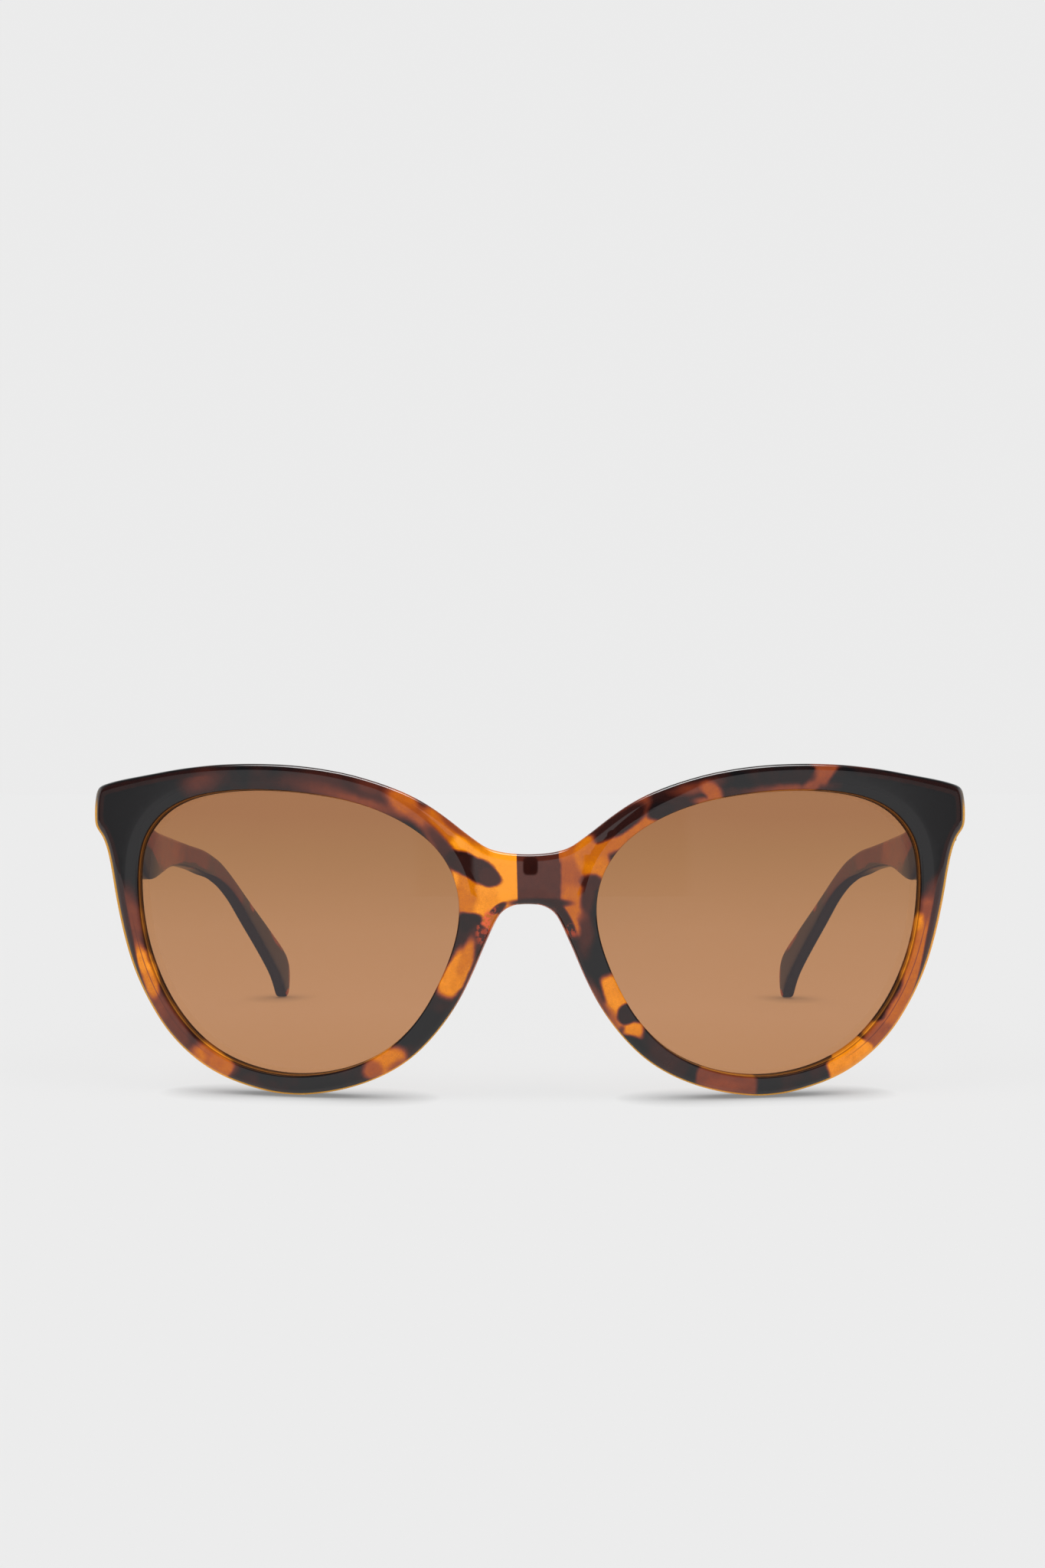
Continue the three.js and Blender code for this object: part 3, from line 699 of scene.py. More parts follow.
# ------------------------------------------------------ tortoiseshell pattern
# Patches of colour, later ones over earlier ones: centre (2 values), half widths (2), turn in
# degrees, density (0 clear amber, 1 black brown), width of the soft edge, corner power
# (2 ellipse, 8 block). Here the centres are x, z on the front.
FRONT_PATCHES = [
 (-52.4, 49.9, 3.05, 1.73, 10, 0.72, 1.73, 2), (-34.7, 49.6, 4.76, 1.71, 0, 0.8, 1.5, 2),
 (-26.5, 46.6, 7.48, 1.3, -16, 0.55, 1.1, 2), (-24.5, 48.9, 2.99, 1.5, -20, 0.74, 1.2, 2),
 (-19.4, 46.7, 3.08, 1.99, -42, 0.33, 0.99, 2), (-16.4, 43.9, 2.98, 1.49, -40, 0.42, 0.89, 2),
 (-11.9, 42.5, 5.2, 2.08, -42, 0.29, 0.59, 2), (-7.2, 36.8, 4.94, 5.44, 0, 0.02, 0.69, 3),
 (-3.0, 34.6, 3.46, 4.45, 0, -0.02, 0.69, 4), (-7.4, 31.6, 3.06, 3.06, -30, 0.06, 0.69, 2),
 (-9.6, 32.3, 1.7, 3.95, 0, 0.22, 0.69, 2), (-13.4, 39.2, 3.86, 1.09, -50, 0.52, 0.69, 2),
 (-13.4, 40.2, 3.2, 1.05, -48, 0.76, 0.6, 2), (-11.9, 38.2, 3.0, 1.3, -55, 0.82, 0.6, 2),
 (-9.9, 37.1, 3.0, 1.7, -34, 0.93, 0.45, 2.6), (-8.0, 36.1, 4.3, 1.72, -27, 0.90, 0.38, 2.6),
 # the second patch on the next line is a painted dark reflection along the outer top edge
 (-5.9, 34.9, 1.8, 1.35, -18, 0.84, 0.3, 2), (-12.2, 43.7, 6.0, 0.55, -41, 0.50, 0.5, 2),
 (-8.8, 27.9, 1.88, 1.58, 0, 0.97, 0.4, 4), (-4.5, 26.7, 2.57, 1.48, 55, 0.6, 0.59, 2),
 (-5.7, 28.4, 1.48, 1.19, 50, 0.28, 0.4, 2), (-8.2, 25.2, 2.47, 1.19, 65, 0.8, 0.69, 2),
 (-11.2, 20.0, 1.78, 4.15, -24, 0.13, 0.45, 3), (-9.7, 22.5, 0.99, 2.97, -20, 0.22, 0.44, 2),
 (-8.4, 20.0, 0.59, 4.45, -24, 0.55, 0.49, 2), (-22.0, 6.1, 3.09, 2.19, 25, 0.2, 0.8, 2.4),
 (-24.3, 4.7, 1.7, 1.7, 0, 0.42, 0.7, 2), (-20.2, 5.1, 1.69, 1.0, 20, 0.42, 0.6, 2),
 (-50.5, 5.1, 3.76, 2.23, -35, 0.38, 0.81, 3), (-49.1, 4.3, 1.93, 1.83, -30, 0.31, 0.41, 4),
 (-53.1, 6.2, 1.53, 1.32, -30, 0.24, 0.71, 2), (-57.4, 11.2, 2.24, 5.61, 35, 0.66, 1.12, 2),
 (-59.8, 14.4, 1.23, 2.55, 30, 0.58, 0.92, 2), (-63.8, 27.6, 1.74, 4.61, 12, 0.6, 1.33, 2),
 (-61.5, 19.9, 1.20, 4.1, 17, 0.08, 0.61, 2.4), (-60.8, 17.5, 1.23, 2.04, 22, 0.2, 0.61, 2),
 (7.2, 34.3, 2.27, 6.42, 0, 0.42, 0.49, 6), (7.1, 30.9, 1.78, 2.77, 0, 0.3, 0.59, 3),
 (6.5, 39.3, 2.97, 1.58, 20, 0.36, 0.69, 2), (10.2, 37.8, 2.57, 3.96, 25, 0.22, 0.69, 2),
 (14.6, 41.7, 6.94, 2.18, 32, 0.30, 0.69, 2), (19.1, 44.9, 2.19, 3.58, -25, 0.3, 0.6, 2),
 (15.6, 45.9, 5.46, 1.19, 36, 0.5, 0.69, 2), (14.6, 43.6, 4.86, 1.64, 34, 0.91, 0.45, 2.4),
 (12.1, 41.7, 1.68, 1.09, 40, 0.91, 0.45, 2), (23.4, 46.8, 4.38, 1.99, 8, 0.93, 0.5, 3),
 (20.6, 45.3, 1.99, 1.29, 15, 0.97, 0.45, 2), (26.2, 48.9, 3.49, 0.85, 10, 0.62, 0.7, 2),
 (28.8, 48.4, 2.0, 1.2, -40, 0.42, 0.5, 2), (29.3, 47.0, 1.2, 1.2, -60, 0.38, 0.45, 2),
 (27.7, 46.6, 2.0, 0.75, -10, 0.45, 0.5, 2), (40.4, 48.7, 6.54, 0.86, 4, 0.62, 0.7, 2),
 (41.5, 48.6, 3.02, 0.5, 2, 0.5, 0.5, 2), (45.1, 49.9, 2.43, 1.21, 45, 0.52, 0.51, 2),
 (47.0, 51.6, 1.52, 2.23, -30, 0.48, 0.46, 3), (47.0, 52.7, 2.23, 0.81, 0, 0.5, 0.46, 2),
 (40.2, 51.2, 4.79, 1.51, 0, 0.97, 0.45, 3.4), (53.6, 52.7, 2.96, 0.66, -8, 0.62, 0.61, 2),
 (65.4, 31.7, 1.75, 2.87, -12, 0.74, 1.13, 2), (64.6, 28.1, 2.26, 3.38, -12, 0.5, 0.92, 3),
 (62.5, 26.9, 0.72, 1.64, -5, 0.1, 0.41, 2), (63.8, 25.1, 2.25, 1.02, -12, 0.5, 0.61, 2),
 (63.0, 18.4, 3.07, 8.71, -14, 0.30, 0.61, 4), (59.8, 11.8, 3.07, 4.6, -32, 0.33, 0.72, 3),
 (57.5, 8.8, 2.04, 1.84, -42, 0.5, 0.61, 2), (59.6, 9.2, 0.92, 3.07, -35, 0.55, 0.72, 2),
 (56.2, 9.0, 3.2, 2.6, -40, 0.46, 0.6, 2), (51.8, 6.5, 3.05, 2.84, -30, 0.07, 0.3, 5),
 (49.8, 4.9, 2.54, 1.72, 28, 0.1, 0.3, 4), (31.0, 2.3, 4.76, 3.0, 0, 0.6, 0.35, 8),
 (30.2, 2.1, 3.0, 1.2, 0, 0.52, 0.9, 2), (14.9, 15.0, 2.48, 4.95, -52, 0.24, 0.59, 2.4),
 (13.1, 17.4, 1.29, 2.57, 20, 0.1, 0.45, 3), (14.0, 15.7, 1.19, 1.98, 25, 0.12, 0.45, 3),
 (16.4, 11.3, 1.69, 1.09, -10, 0.14, 0.45, 3), (15.4, 13.6, 1.68, 1.49, -20, 0.96, 0.35, 2.2),
 (12.4, 13.0, 1.29, 2.97, 30, 0.4, 0.69, 2), (10.9, 16.0, 0.79, 2.97, 25, 0.62, 0.69, 2),
 (8.9, 26.4, 1.19, 2.96, 0, 0.8, 0.89, 2), (6.8, 27.4, 1.19, 1.88, 20, 0.28, 0.49, 2),
 (9.8, 34.3, 1.68, 1.19, 0, 0.86, 0.44, 2.4), (9.3, 31.8, 1.19, 2.47, 0, 0.84, 0.59, 2)]
FRONT_SOFTNESS = 1.7        # widens the soft edges of FRONT_PATCHES
# The block with straight sides at the bridge, and the dark patches over it
BRIDGE_PATCHES = [
 (1.68, 33.0, 3.27, 9.5, 1.5, 0.76, 0.16, 8), (0.42, 36.75, 1.15, 1.40, 0, 0.90, 0.34, 4),
 (1.9, 31.0, 4.6, 0.75, 0, 0.93, 0.5, 2), (5.9, 28.4, 3.4, 0.8, -62, 0.92, 0.5, 2),
 (-4.6, 30.2, 1.5, 0.55, 35, 0.86, 0.3, 2)]
# The small plate at the bridge; its density is used as a factor on the polish
DULL_PLATE = [(0.42, 36.75, 1.15, 1.40, 0, 0.0, 0.34, 4)]
# Painted red light beside the arch under the bridge; density is used as its strength
RED_LIGHTS = [
 (-6.7, 27.4, 2.7, 0.95, 70, 1.0, 0.5, 2), (-5.6, 29.4, 1.2, 0.5, 48, 1.0, 0.4, 2),
 (6.9, 26.8, 1.1, 0.7, -62, 1.0, 0.4, 2)]
# Here the centres are y, z on the temple
TEMPLE_PATCHES = [
 (30, 41, 12.0, 9.0, 0, 0.42, 4.0, 2), (47, 38, 14.0, 5.0, -10, 0.40, 4.0, 2),
 (70, 37, 14.0, 6.0, -6, 0.50, 4.0, 2), (97, 31.5, 16.0, 6.0, -14, 0.62, 4.0, 2),
 (128, 17, 20.0, 8.0, -25, 0.93, 4.0, 2), (146, 8, 12.0, 8.0, -32, 0.93, 3.0, 2),
 (31, 35.2, 8.5, 3.0, -19, 0.99, 0.9, 2), (22, 43.0, 4.0, 6.0, 0, 0.99, 2.0, 2),
 (44, 33.0, 8.0, 0.6, 4, 0.95, 0.6, 2), (58, 34.2, 10.0, 0.6, -1, 0.95, 0.6, 2),
 (78, 32.0, 12.0, 0.6, -10, 0.95, 0.6, 2), (90, 34.4, 12.0, 0.7, -14, 0.82, 0.6, 2),
 (108, 28.0, 12.0, 0.7, -23, 0.88, 0.6, 2), (51.5, 37.6, 3.0, 1.5, 0, 0.34, 1.4, 2),
 (118, 23.0, 2.2, 0.9, -24, 0.38, 0.8, 2), (139, 14.2, 7.0, 1.0, -25, 0.40, 0.8, 2),
 (149, 9.6, 3.4, 0.9, -48, 0.46, 0.9, 2), (151.4, 5.5, 1.4, 4.2, 4, 0.46, 1.4, 2),
 (149.6, 1.0, 1.6, 1.1, 0, 0.30, 0.6, 2)]
# (density, colour), from clear amber to black brown
SHELL_COLORS = [
 (0.00, (0.93, 0.315, 0.012)), (0.10, (0.78, 0.235, 0.004)), (0.22, (0.56, 0.145, 0.002)),
 (0.36, (0.40, 0.085, 0.010)), (0.50, (0.23, 0.044, 0.014)), (0.64, (0.125, 0.024, 0.011)),
 (0.78, (0.060, 0.0125, 0.0080)), (0.90, (0.026, 0.0065, 0.0050)),
 (1.00, (0.0045, 0.0040, 0.0048))]
# (height share, filter colour) of the lens
LENS_COLORS = [
 (0.10, (0.737, 0.506, 0.320)), (0.26, (0.748, 0.519, 0.341)), (0.56, (0.718, 0.495, 0.315)),
 (0.86, (0.650, 0.438, 0.252)), (1.00, (0.630, 0.408, 0.232))]
# Edges of the cells of the front, each of which has its own material
CELL_X = (-80, -56, -40, -22, -11, 0, 9, 20, 34, 50, 80)
CELL_Z = (-5, 24, 60)


def add_patches(tree, flat, density, rows, softer=1.0):
    for center_x, center_y, half_x, half_y, turn, patch_density, soft, power in rows:
        local = tree.value("ShaderNodeMapping", {
            "Location": (center_x, center_y, 0), "Rotation": (0, 0, radians(turn)),
            "Scale": (half_x, half_y, 1), "Vector": flat}, vector_type="TEXTURE")
        if power >= 3:
            raised = tree.vector("MULTIPLY", local, local)
            root = 0.25
            if power >= 6:
                raised = tree.vector("MULTIPLY", raised, raised)
                root = 0.125
            radius = tree.vector("DOT_PRODUCT", raised, raised) ** root
        else:
            radius = tree.vector("LENGTH", local)
        blur = min(0.5 * softer * soft / min(half_x, half_y), 0.9)
        density = tree.mix(radius.fall(1 - blur, 1 + blur), density, patch_density)
    return density


def shell_surface(tree, density, position, glow=(), coat=1.0):
    """Polished acetate: clear coat, fine grain and light carried through the thin parts, with a
    painted glow added in the clear parts.
    glow holds (factor, colour over amber, colour over the dark) of painted light mixed into the
    colour where the edge should look lit."""
    grain = tree.noise(position, scale=8.5, rough=0.7)
    clouds = tree.noise(position, scale=0.55, detail=4.0, rough=0.6)
    clear = density.linear(0.0, 0.80, 1.0, 0.0)
    density = density + (grain - 0.5) * (clear * 0.32 + 0.05)
    density = density + (clouds - 0.5) * (clear * 0.16 + 0.10)
    density = density.larger(0.0)
    color = tree.color_ramp(density, SHELL_COLORS)
    dark = density.rise(0.30, 0.85)
    for factor, over_amber, over_dark in glow:
        color = tree.mix_color(factor, color, tree.mix_color(dark, over_amber, over_dark))
    ripple = tree.noise(position, scale=0.11, detail=1.0, rough=0.4)
    haze = tree.noise(position, scale=1.7)
    bump = tree.value("ShaderNodeBump", {"Strength": 0.10, "Distance": 0.0002, "Height": ripple})
    body = tree.value("ShaderNodeBsdfPrincipled", {
        "Base Color": color,
        "Roughness": 0.42,
        "Specular IOR Level": 0.0,
        "Coat Weight": coat,
        "Coat IOR": 1.49,
        # painted glow: the clear amber emits a little light of its own, standing in for light
        # carried through it
        "Emission Color": color,
        "Emission Strength": density.fall(0.0, 0.7, top=0.12),
        "Coat Roughness": haze.ease(0.3, 0.7, 0.018, 0.045),
        "Coat Normal": bump})
    carried = tree.value("ShaderNodeBsdfTranslucent", {"Color": color})
    return tree.mix_shader(density.fall(0.0, 0.6, top=0.12), body, carried)


def past_seat(tree, shell, to_eye, normal_y, depth):
    """The lens doesn't refract, so its seat would look deeper than through real glass. Seen
    through the lens from the front, the seat is clear and shows what lies behind."""
    camera, crossed = tree.values("ShaderNodeLightPath", "Is Camera Ray", "Transparent Depth")
    incoming, backfacing = tree.values("ShaderNodeNewGeometry", "Incoming", "Backfacing")
    through = camera * crossed.rise(0.4, 0.6)
    through = through * tree.split(incoming)[1].rise(-0.35, -0.60)
    wall = to_eye.rise(-0.5, 0.5) * depth.rise(2.20, 2.28)
    ledge = normal_y.rise(-0.4, -0.6) * depth.rise(3.2, 3.6)
    seat = wall.larger(ledge).larger(backfacing) * through
    clear = tree.value("ShaderNodeBsdfTransparent", {"Color": (1.0, 1.0, 1.0)})
    return tree.mix_shader(seat, shell, clear)


def dark_edge_reflection_and_joint(tree, density, across, z, normal_y):
    """A painted dark reflection along the outer edge at the sides, and a fine joint line inside
    it.
    """
    rim = tree.value("ShaderNodeAttribute", output="Fac", attribute_type="GEOMETRY",
                     attribute_name="rim")
    face = normal_y.rise(-0.5, -0.7) * across.rise(49.0, 56.0)
    width = z.ease(12.0, 27.0, 0.75, 1.95)
    dark_edge_reflection = (rim - width).fall(-0.30, 0.10, top=0.85)
    density = tree.mix(dark_edge_reflection * face * z.rise(7.0, 13.0), density, 0.93)
    joint = abs(rim - 2.45).fall(0.03, 0.13, top=0.45)
    return tree.mix(joint * face * z.rise(30.0, 24.0), density, 0.80)


def tortoise_front(name, rows, bridge):
    """Material of one cell of the front; bridge adds what belongs to the bridge."""
    made, tree = new_material(name)
    position = tree.position_mm()
    x, y, z = tree.split(position)
    coarse = tree.wobble(position, scale=0.22, detail=1.0, amount=1.3)
    fine = tree.wobble(position, scale=0.95, detail=2.0, amount=0.30)
    shift_x, _, shift_z = tree.split(tree.vector("ADD", coarse, fine))
    flat = tree.join(x + shift_x, z + shift_z)
    # nearly black ground, darkest at the upper outer corners
    density = tree.noise(position, scale=0.16).ease(0.35, 0.7, 1.02, 0.90)
    density = tree.mix(abs(x).rise(44.0, 54.0) * z.rise(28.0, 36.0), density, 1.02)
    density = add_patches(tree, flat, density, rows, FRONT_SOFTNESS)
    if bridge:
        straight = tree.join(x, z)
        density = add_patches(tree, straight, density, BRIDGE_PATCHES)

    # where the surface is: on the wall round a lens, or on the turned outer edge
    normal_x, normal_y, normal_z = tree.split(tree.coords("Normal"))
    across = abs(x)
    normal_out = normal_x * tree.math("SIGN", x)
    eye_x, eye_z = 37.0, 26.0           # middle of the eye opening
    to_eye = normal_out * (eye_x - across) + normal_z * (eye_z - z)
    inner = abs(normal_y).rise(0.60, 0.30) * to_eye.rise(-0.5, 0.5)
    above = z - WRAP_Z
    bowed = (x * x + above * above) * (1.0 / (2 * WRAP_RADIUS))
    # depth behind the face, with a correction for the lean of deeper points
    depth = y - bowed * (1.0 + (y - bowed) * 0.0095)
    # two painted highlight lines along the wall round the lens
    broad = abs(depth - 1.02).fall(0.14, 0.32)
    narrow = abs(depth - 1.52).fall(0.05, 0.19, top=0.6)
    lines = broad.larger(narrow) * inner
    # painted glow on the outer edge, standing in for light coming through it: at the sides, and on
    # the arch under the bridge
    facing = tree.value("ShaderNodeLayerWeight", {"Blend": 0.5}, "Facing")
    outer_edge = facing.rise(0.46, 0.60, top=0.95) * to_eye.rise(0.5, -0.5)
    side = outer_edge * across.rise(9.0, 14.0)
    side = side * z.ease(47.5, 45.0, 0.10, 1.0)
    side = side * normal_z.fall(0.20, 0.60)
    arch = outer_edge * across.fall(9.0, 14.0)
    arch = arch * normal_z.ease(-0.1, 0.3, 1.0, 0.15)
    # painted dark reflection along the outer edge, and the joint line
    density = dark_edge_reflection_and_joint(tree, density, across, z, normal_y)
    # painted light mixed into the colour: the wall round the lens evened towards a brown as if
    # lit, the highlight lines on it, and the glow on the outer edge
    glow = [(inner * 0.75, (0.34, 0.095, 0.010), (0.022, 0.0075, 0.005)),
            (lines, (0.85, 0.29, 0.018), (0.215, 0.078, 0.015)),
            (side, (0.85, 0.36, 0.050), (0.70, 0.33, 0.035)),
            (arch, (0.72, 0.20, 0.040), (0.36, 0.075, 0.022))]
    polish = 1.0 - (side * 0.8).larger(inner * 0.7)
    if bridge:
        polish = polish * add_patches(tree, straight, 1.0, DULL_PLATE)
        # painted red light beside the arch, mixed into the colour
        painted_red_light = add_patches(tree, flat, 0.0, RED_LIGHTS)
        painted_red_light = painted_red_light * tree.noise(position, scale=1.3, rough=0.6).rise(0.42, 0.56, top=0.9)
        glow.append((painted_red_light, (0.72, 0.105, 0.030), (0.36, 0.045, 0.014)))
    shell = shell_surface(tree, density, position, glow, polish)
    tree.finish(past_seat(tree, shell, to_eye, normal_y, depth))
    return made


def rows_in_cell(x0, x1, z0, z1):
    """The patches that reach into one cell of the front."""
    keep = []
    for row in FRONT_PATCHES:
        x, z, half_x, half_z, turn, _, soft, _ = row
        cosine, sine = abs(cos(radians(turn))), abs(sin(radians(turn)))
        margin = 1.0 + FRONT_SOFTNESS * soft / 2
        reach_x = half_x * cosine + half_z * sine + margin
        reach_z = half_x * sine + half_z * cosine + margin
        if x + reach_x > x0 and x - reach_x < x1 and z + reach_z > z0 and z - reach_z < z1:
            keep.append(row)
    return keep


def paint_front(shell):
    """One material per cell, all drawn from the same pattern, so that each stays small."""
    mesh = shell.data
    centres = np.zeros(len(mesh.polygons) * 3)
    mesh.polygons.foreach_get("center", centres)
    x, _, z = (centres.reshape(-1, 3) * 1000.0).T
    slots = np.zeros(len(mesh.polygons), int)
    for i, (x0, x1) in enumerate(zip(CELL_X[:-1], CELL_X[1:])):
        for j, (z0, z1) in enumerate(zip(CELL_Z[:-1], CELL_Z[1:])):
            in_cell = (x >= x0) & (x < x1) & (z >= z0) & (z < z1)
            if not in_cell.any():
                continue
            slots[in_cell] = len(mesh.materials)
            mesh.materials.append(tortoise_front(
                f"tortoise_front_{i}{j}", rows_in_cell(x0, x1, z0, z1),
                bridge=x0 < 12 and x1 > -6))
    mesh.polygons.foreach_set("material_index", slots.astype(np.int32))


def tortoise_temple():
    made, tree = new_material("tortoise_temple")
    position = tree.position_mm()
    x, y, z = tree.split(position)
    shift = tree.wobble(position, scale=0.12, detail=2.0, amount=1.2)
    _, shift_y, shift_z = tree.split(shift)
    along, up = y + shift_y, z + shift_z
    side = x * 0.35                     # sets the two faces and the two temples apart
    large = tree.noise(tree.join(along * 0.62, up, side), scale=0.105, rough=0.45,
                       distortion=0.4)
    density = large.ease(0.42, 0.58, 1.0, 0.12)
    small = tree.noise(tree.join(along, up, side + 40.0), scale=0.22, detail=1.0, rough=0.4)
    density = tree.mix(small.rise(0.56, 0.66, top=0.9), density, 0.5)
    density = add_patches(tree, tree.join(along, up), density, TEMPLE_PATCHES)
    normal_x, _, normal_z = tree.split(tree.coords("Normal"))
    outward = normal_x * tree.math("SIGN", x)
    # the underside is painted darker towards the back as painted shade, and is duller there
    underside_shade_and_dull = normal_z.rise(-0.10, -0.35) * abs(outward).rise(0.80, 0.55)
    far = y.rise(66.0, 84.0)
    density = tree.mix(underside_shade_and_dull * far, density, 0.95)
    # the inner face is less polished than the outer
    inner_polish = tree.mix(y.rise(30.0, 42.0), 0.25, y.ease(44.0, 62.0, 0.80, 0.42))
    polish = outward.rise(-0.5, 0.1).larger(inner_polish)
    polish = polish * (1.0 - underside_shade_and_dull * tree.mix(far, 0.5, 0.97))
    tree.finish(shell_surface(tree, density, position, coat=polish))
    return made


def brown_lens():
    """Clear brown plastic, a little paler towards the bottom."""
    made, tree = new_material("brown_lens")
    position = tree.position_mm()
    _, _, z = tree.split(position)
    height = z + tree.noise(position, scale=0.05, detail=1.0, rough=0.3) * 3.0
    color = tree.color_ramp(height.linear(4.0, 46.0, 0.0, 1.0), LENS_COLORS)
    tint = tree.value("ShaderNodeBsdfTransparent", {"Color": color})
    smears = tree.noise(position, scale=0.8)
    gloss = tree.value("ShaderNodeBsdfGlossy", {
        "Color": (0.9, 0.9, 0.9), "Roughness": smears.ease(0.3, 0.7, 0.004, 0.012)})
    fresnel = tree.value("ShaderNodeFresnel", {"IOR": 1.22})
    outside = 1.0 - tree.value("ShaderNodeNewGeometry", output="Backfacing")
    surface = tree.mix_shader(fresnel * outside, tint, gloss)
    # painted reflection: an even glow standing in for room light off the polished face
    haze = tree.value("ShaderNodeEmission", {"Color": (1.0, 0.94, 1.0),
                                             "Strength": outside * 0.036})
    tree.finish(tree.value("ShaderNodeAddShader", {0: surface, 1: haze}))
    return made


def metal(name, color, rough, brushed):
    """Metal with fine lines; a smaller brushed value draws them out across x and y."""
    made, tree = new_material(name)
    position = tree.position_mm()
    x, y, z = tree.split(position)
    lines = tree.noise(tree.join(x * brushed, y * brushed, z), scale=5.0, detail=3.0, rough=0.6)
    spots = tree.noise(position, scale=1.1)
    bump = tree.value("ShaderNodeBump", {"Strength": 0.25, "Distance": 0.00003, "Height": lines})
    tree.finish(tree.value("ShaderNodeBsdfPrincipled", {
        "Base Color": tree.mix_color(spots.rise(0.3, 0.75, top=0.30), color,
                                     tuple(c * 0.7 for c in color)),
        "Metallic": 1.0,
        "Roughness": lines.ease(0.3, 0.7, rough - 0.08, rough + 0.10),
        "Normal": bump}))
    return made


def nose_pad_amber():
    made, tree = new_material("nose_pad_amber")
    position = tree.position_mm()
    clouds = tree.noise(position, scale=0.20, distortion=0.3)
    tree.finish(shell_surface(tree, clouds.ease(0.44, 0.62, 0.78, 0.22), position))
    return made


# --------------------------------------------------------- floor and lighting
ABOVE_LIGHT = 4.9           # the two lamps above
FILL_LIGHT = 1.60           # low fill from the front
AMBIENT_LIGHT = 0.15
BACKDROP_LIGHT = 0.834      # white of the backdrop and the floor
CARD_LIGHT = 0.92           # the narrow card in front, seen in reflections
FLOOR_ALBEDO = 0.88


def floor_paper():
    """Mostly its own even light, with painted contact shadows: darker where something stands close
    to it.
    """
    made, tree = new_material("floor_paper")
    metres = tree.scaled(tree.coords("Object"), 1.0)
    fibres = tree.noise(metres, scale=900.0, detail=3.0, rough=0.6)
    waves = tree.noise(metres, scale=6.0, detail=1.0, rough=0.4)
    grey = fibres.linear(0.0, 1.0, -0.003, 0.003) + FLOOR_ALBEDO
    grey = grey + waves.ease(0.3, 0.7, -0.002, 0.002)
    color = tree.value("ShaderNodeCombineColor", {0: grey, 1: grey, 2: grey})
    diffuse = tree.value("ShaderNodeBsdfDiffuse", {"Color": color})
    openness = tree.value("ShaderNodeAmbientOcclusion", {"Distance": 0.008}, "AO", samples=12)
    camera = tree.value("ShaderNodeLightPath", output="Is Camera Ray")
    # painted contact shadow from ambient occlusion, on the floor's own light
    painted_contact_shadow = openness.linear(0.25, 0.98, 0.30, 1.0)
    light = tree.value("ShaderNodeEmission", {
        "Color": (1.0, 1.0, 1.0), "Strength": tree.mix(camera, 1.0, painted_contact_shadow) * BACKDROP_LIGHT})
    tree.finish(tree.mix_shader(tree.mix(camera, 0.45, 0.90), diffuse, light))
    return made


def studio():
    """White surround. Light falls mainly from above, with a low fill from the front. What the
    polish mirrors is uneven: a narrow white card in front, dark beside it, pale beyond, dark
    sides, white behind."""
    world = bpy.data.worlds.new("studio")
    bpy.context.scene.world = world
    world.use_nodes = True
    tree = Tree(world.node_tree)
    direction = tree.coords("Generated")
    x, y, z = tree.split(direction)
    azimuth = tree.math("ARCTAN2", x, y * -1.0)     # 0 towards the camera, + to the right
    aside = abs(azimuth)
    elevation = tree.math("ARCSINE", z)

    # what reflections see
    card = (azimuth.rise(radians(-7.9), radians(-7.2), top=CARD_LIGHT)
            * azimuth.fall(radians(6.2), radians(6.9)))
    pale = azimuth.fall(radians(-16.5), radians(-14.0), top=0.80).larger(
        azimuth.rise(radians(19.5), radians(21.5), top=0.80))
    mirrored = card.larger(pale) + 0.04
    # (start and end of the change in degrees to either side, level beyond it)
    for start, end, level in ((38, 56, 0.42), (62, 84, 0.06), (92, 104, 0.90)):
        mirrored = tree.mix(aside.rise(radians(start), radians(end)), mirrored, level)
    mirrored = tree.mix(elevation.rise(radians(24), radians(46)), mirrored, 0.06)
    # a bright band high up behind
    band = elevation.rise(radians(56), radians(60)) * elevation.fall(radians(72), radians(76))
    mirrored = tree.mix(band * aside.rise(radians(128), radians(150)), mirrored, 8.0)

    # what lights the rest
    lamps = [tree.vector("DOT_PRODUCT", direction, (lamp_x, -0.26, 0.89))
             for lamp_x in (-0.375, 0.375)]
    above = lamps[0].larger(lamps[1]).rise(0.90, 0.985) * 0.78
    fill = y.rise(-0.1, -0.5) * z.rise(0.50, 0.30)
    soft = above * ABOVE_LIGHT + fill * FILL_LIGHT + AMBIENT_LIGHT

    glossy, camera = tree.values("ShaderNodeLightPath", "Is Glossy Ray", "Is Camera Ray")
    seen = tree.mix(camera, tree.mix(glossy, soft, mirrored), BACKDROP_LIGHT)
    background = tree.value("ShaderNodeBackground", {"Color": (1.0, 1.0, 1.0), "Strength": seen})
    tree.finish(background, "ShaderNodeOutputWorld")


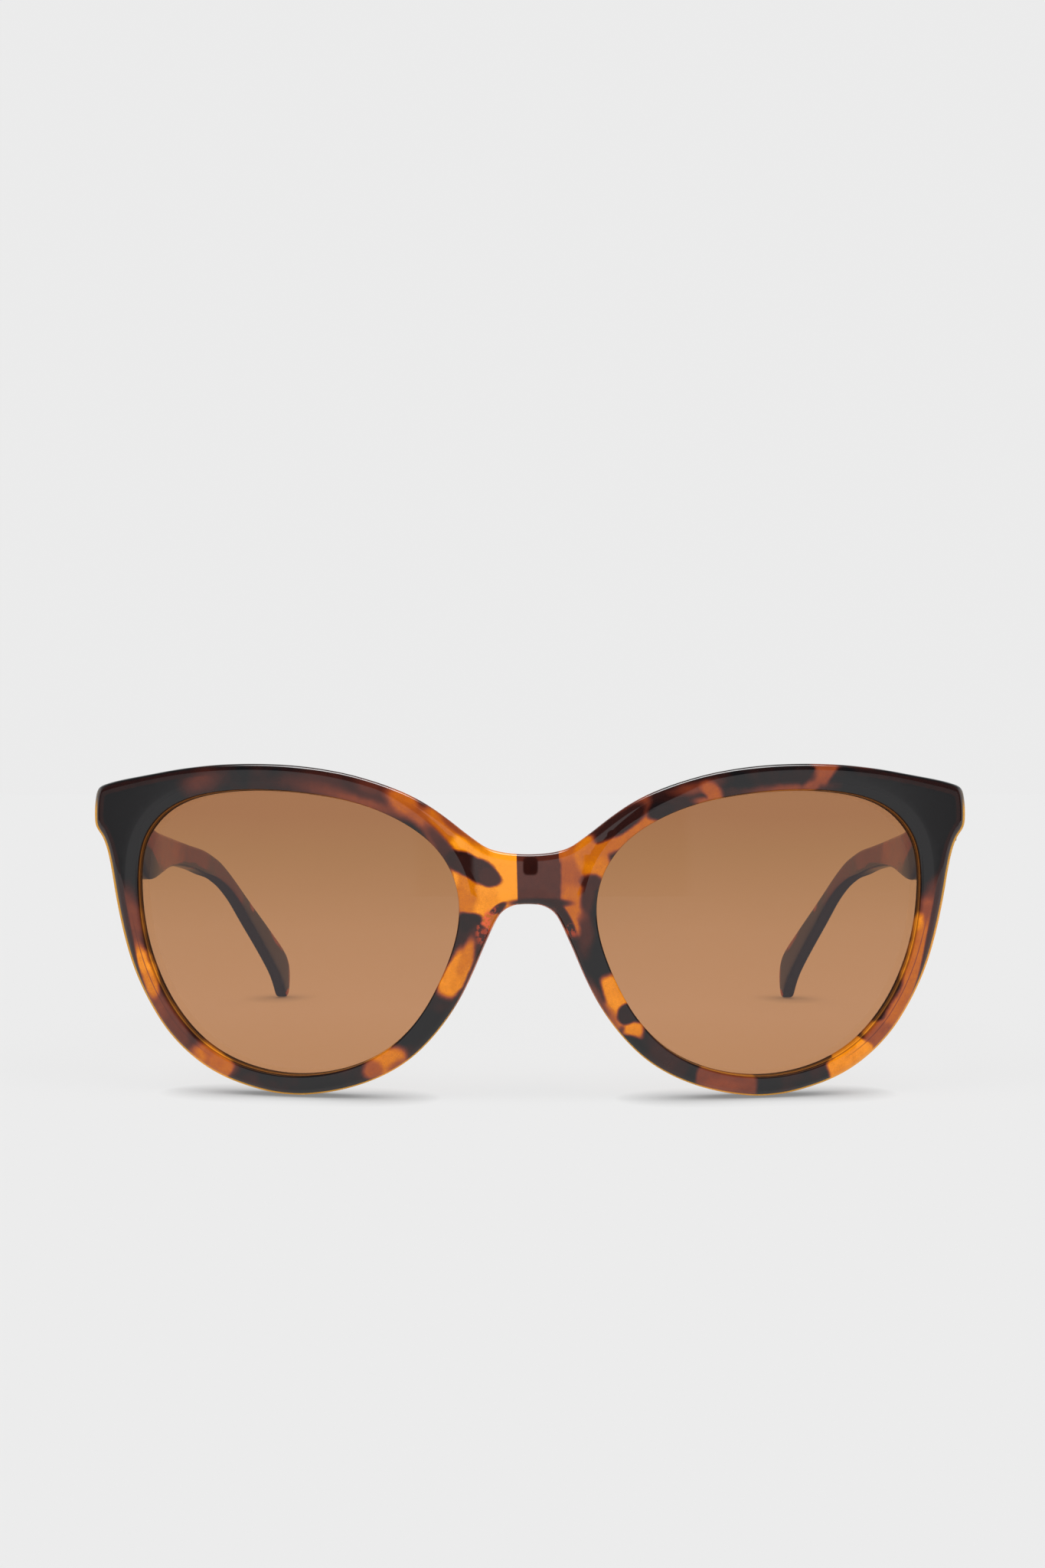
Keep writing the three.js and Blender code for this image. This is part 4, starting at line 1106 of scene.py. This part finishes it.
# ------------------------------------------------------- materials and pieces
temple_shell = tortoise_temple()
lens_plastic = brown_lens()
pad_shell = nose_pad_amber()
hinge_metal = metal("hinge_metal", color=(0.62, 0.60, 0.57), rough=0.30, brushed=0.15)
screw_metal = metal("screw_metal", color=(0.70, 0.69, 0.67), rough=0.22, brushed=0.60)
paint_front(front)

# object, material (the front has its own), body it rides on, node it replaces, material slot
PIECES = (
    (front, None, "front", "front_frame", "tortoise_front"),
    (lens_right, lens_plastic, "front", "lens_right", "brown_lens"),
    (lens_left, lens_plastic, "front", "lens_left", "brown_lens"),
    (pad_right, pad_shell, "front", "nose_pad_right", "nose_pad"),
    (pad_left, pad_shell, "front", "nose_pad_left", "nose_pad"),
    (temple_right, temple_shell, "temple_right", "temple_right", "tortoise_temple"),
    (temple_left, temple_shell, "temple_left", "temple_left", "tortoise_temple"))
for piece, look, body, node, slot in PIECES:
    if look:
        piece.data.materials.append(look)
    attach(piece, body)
    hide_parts(node)

# the CAD hinges and screws stay, with their edges softened
for name, part in frame["nodes"].items():
    if "hinge" in name or "screw" in name:
        part.data.materials.clear()
        part.data.materials.append(screw_metal if "screw" in name else hinge_metal)
        bevel = part.modifiers.new("edge", "BEVEL")
        bevel.width = 0.00006
        bevel.segments = 2
        bevel.limit_method = "ANGLE"
        bevel.angle_limit = radians(40)

# ----------------------------------------------------------- stage and camera
FLOOR_HALF = 9.0            # metres
floor_mesh = bpy.data.meshes.new("floor")
corners = [(x * FLOOR_HALF, y * FLOOR_HALF, 0) for x, y in ((-1, -1), (1, -1), (1, 1), (-1, 1))]
floor_mesh.from_pydata(corners, [], [(0, 1, 2, 3)])
floor = link_object("floor", floor_mesh)
floor.data.materials.append(floor_paper())
studio()

camera_data = bpy.data.cameras.new("cam")
camera = link_object("cam", camera_data)
camera_data.sensor_width = 36.0
camera_data.lens = 44.51
camera_data.clip_start = 0.01
camera.location = (0.003, (-300.0 + SHIFT_Y) * MM, 0.04946)
camera.rotation_euler = (radians(90), 0, 0.0127)
bpy.context.scene.camera = camera
bpy.context.scene.view_settings.view_transform = "Standard"
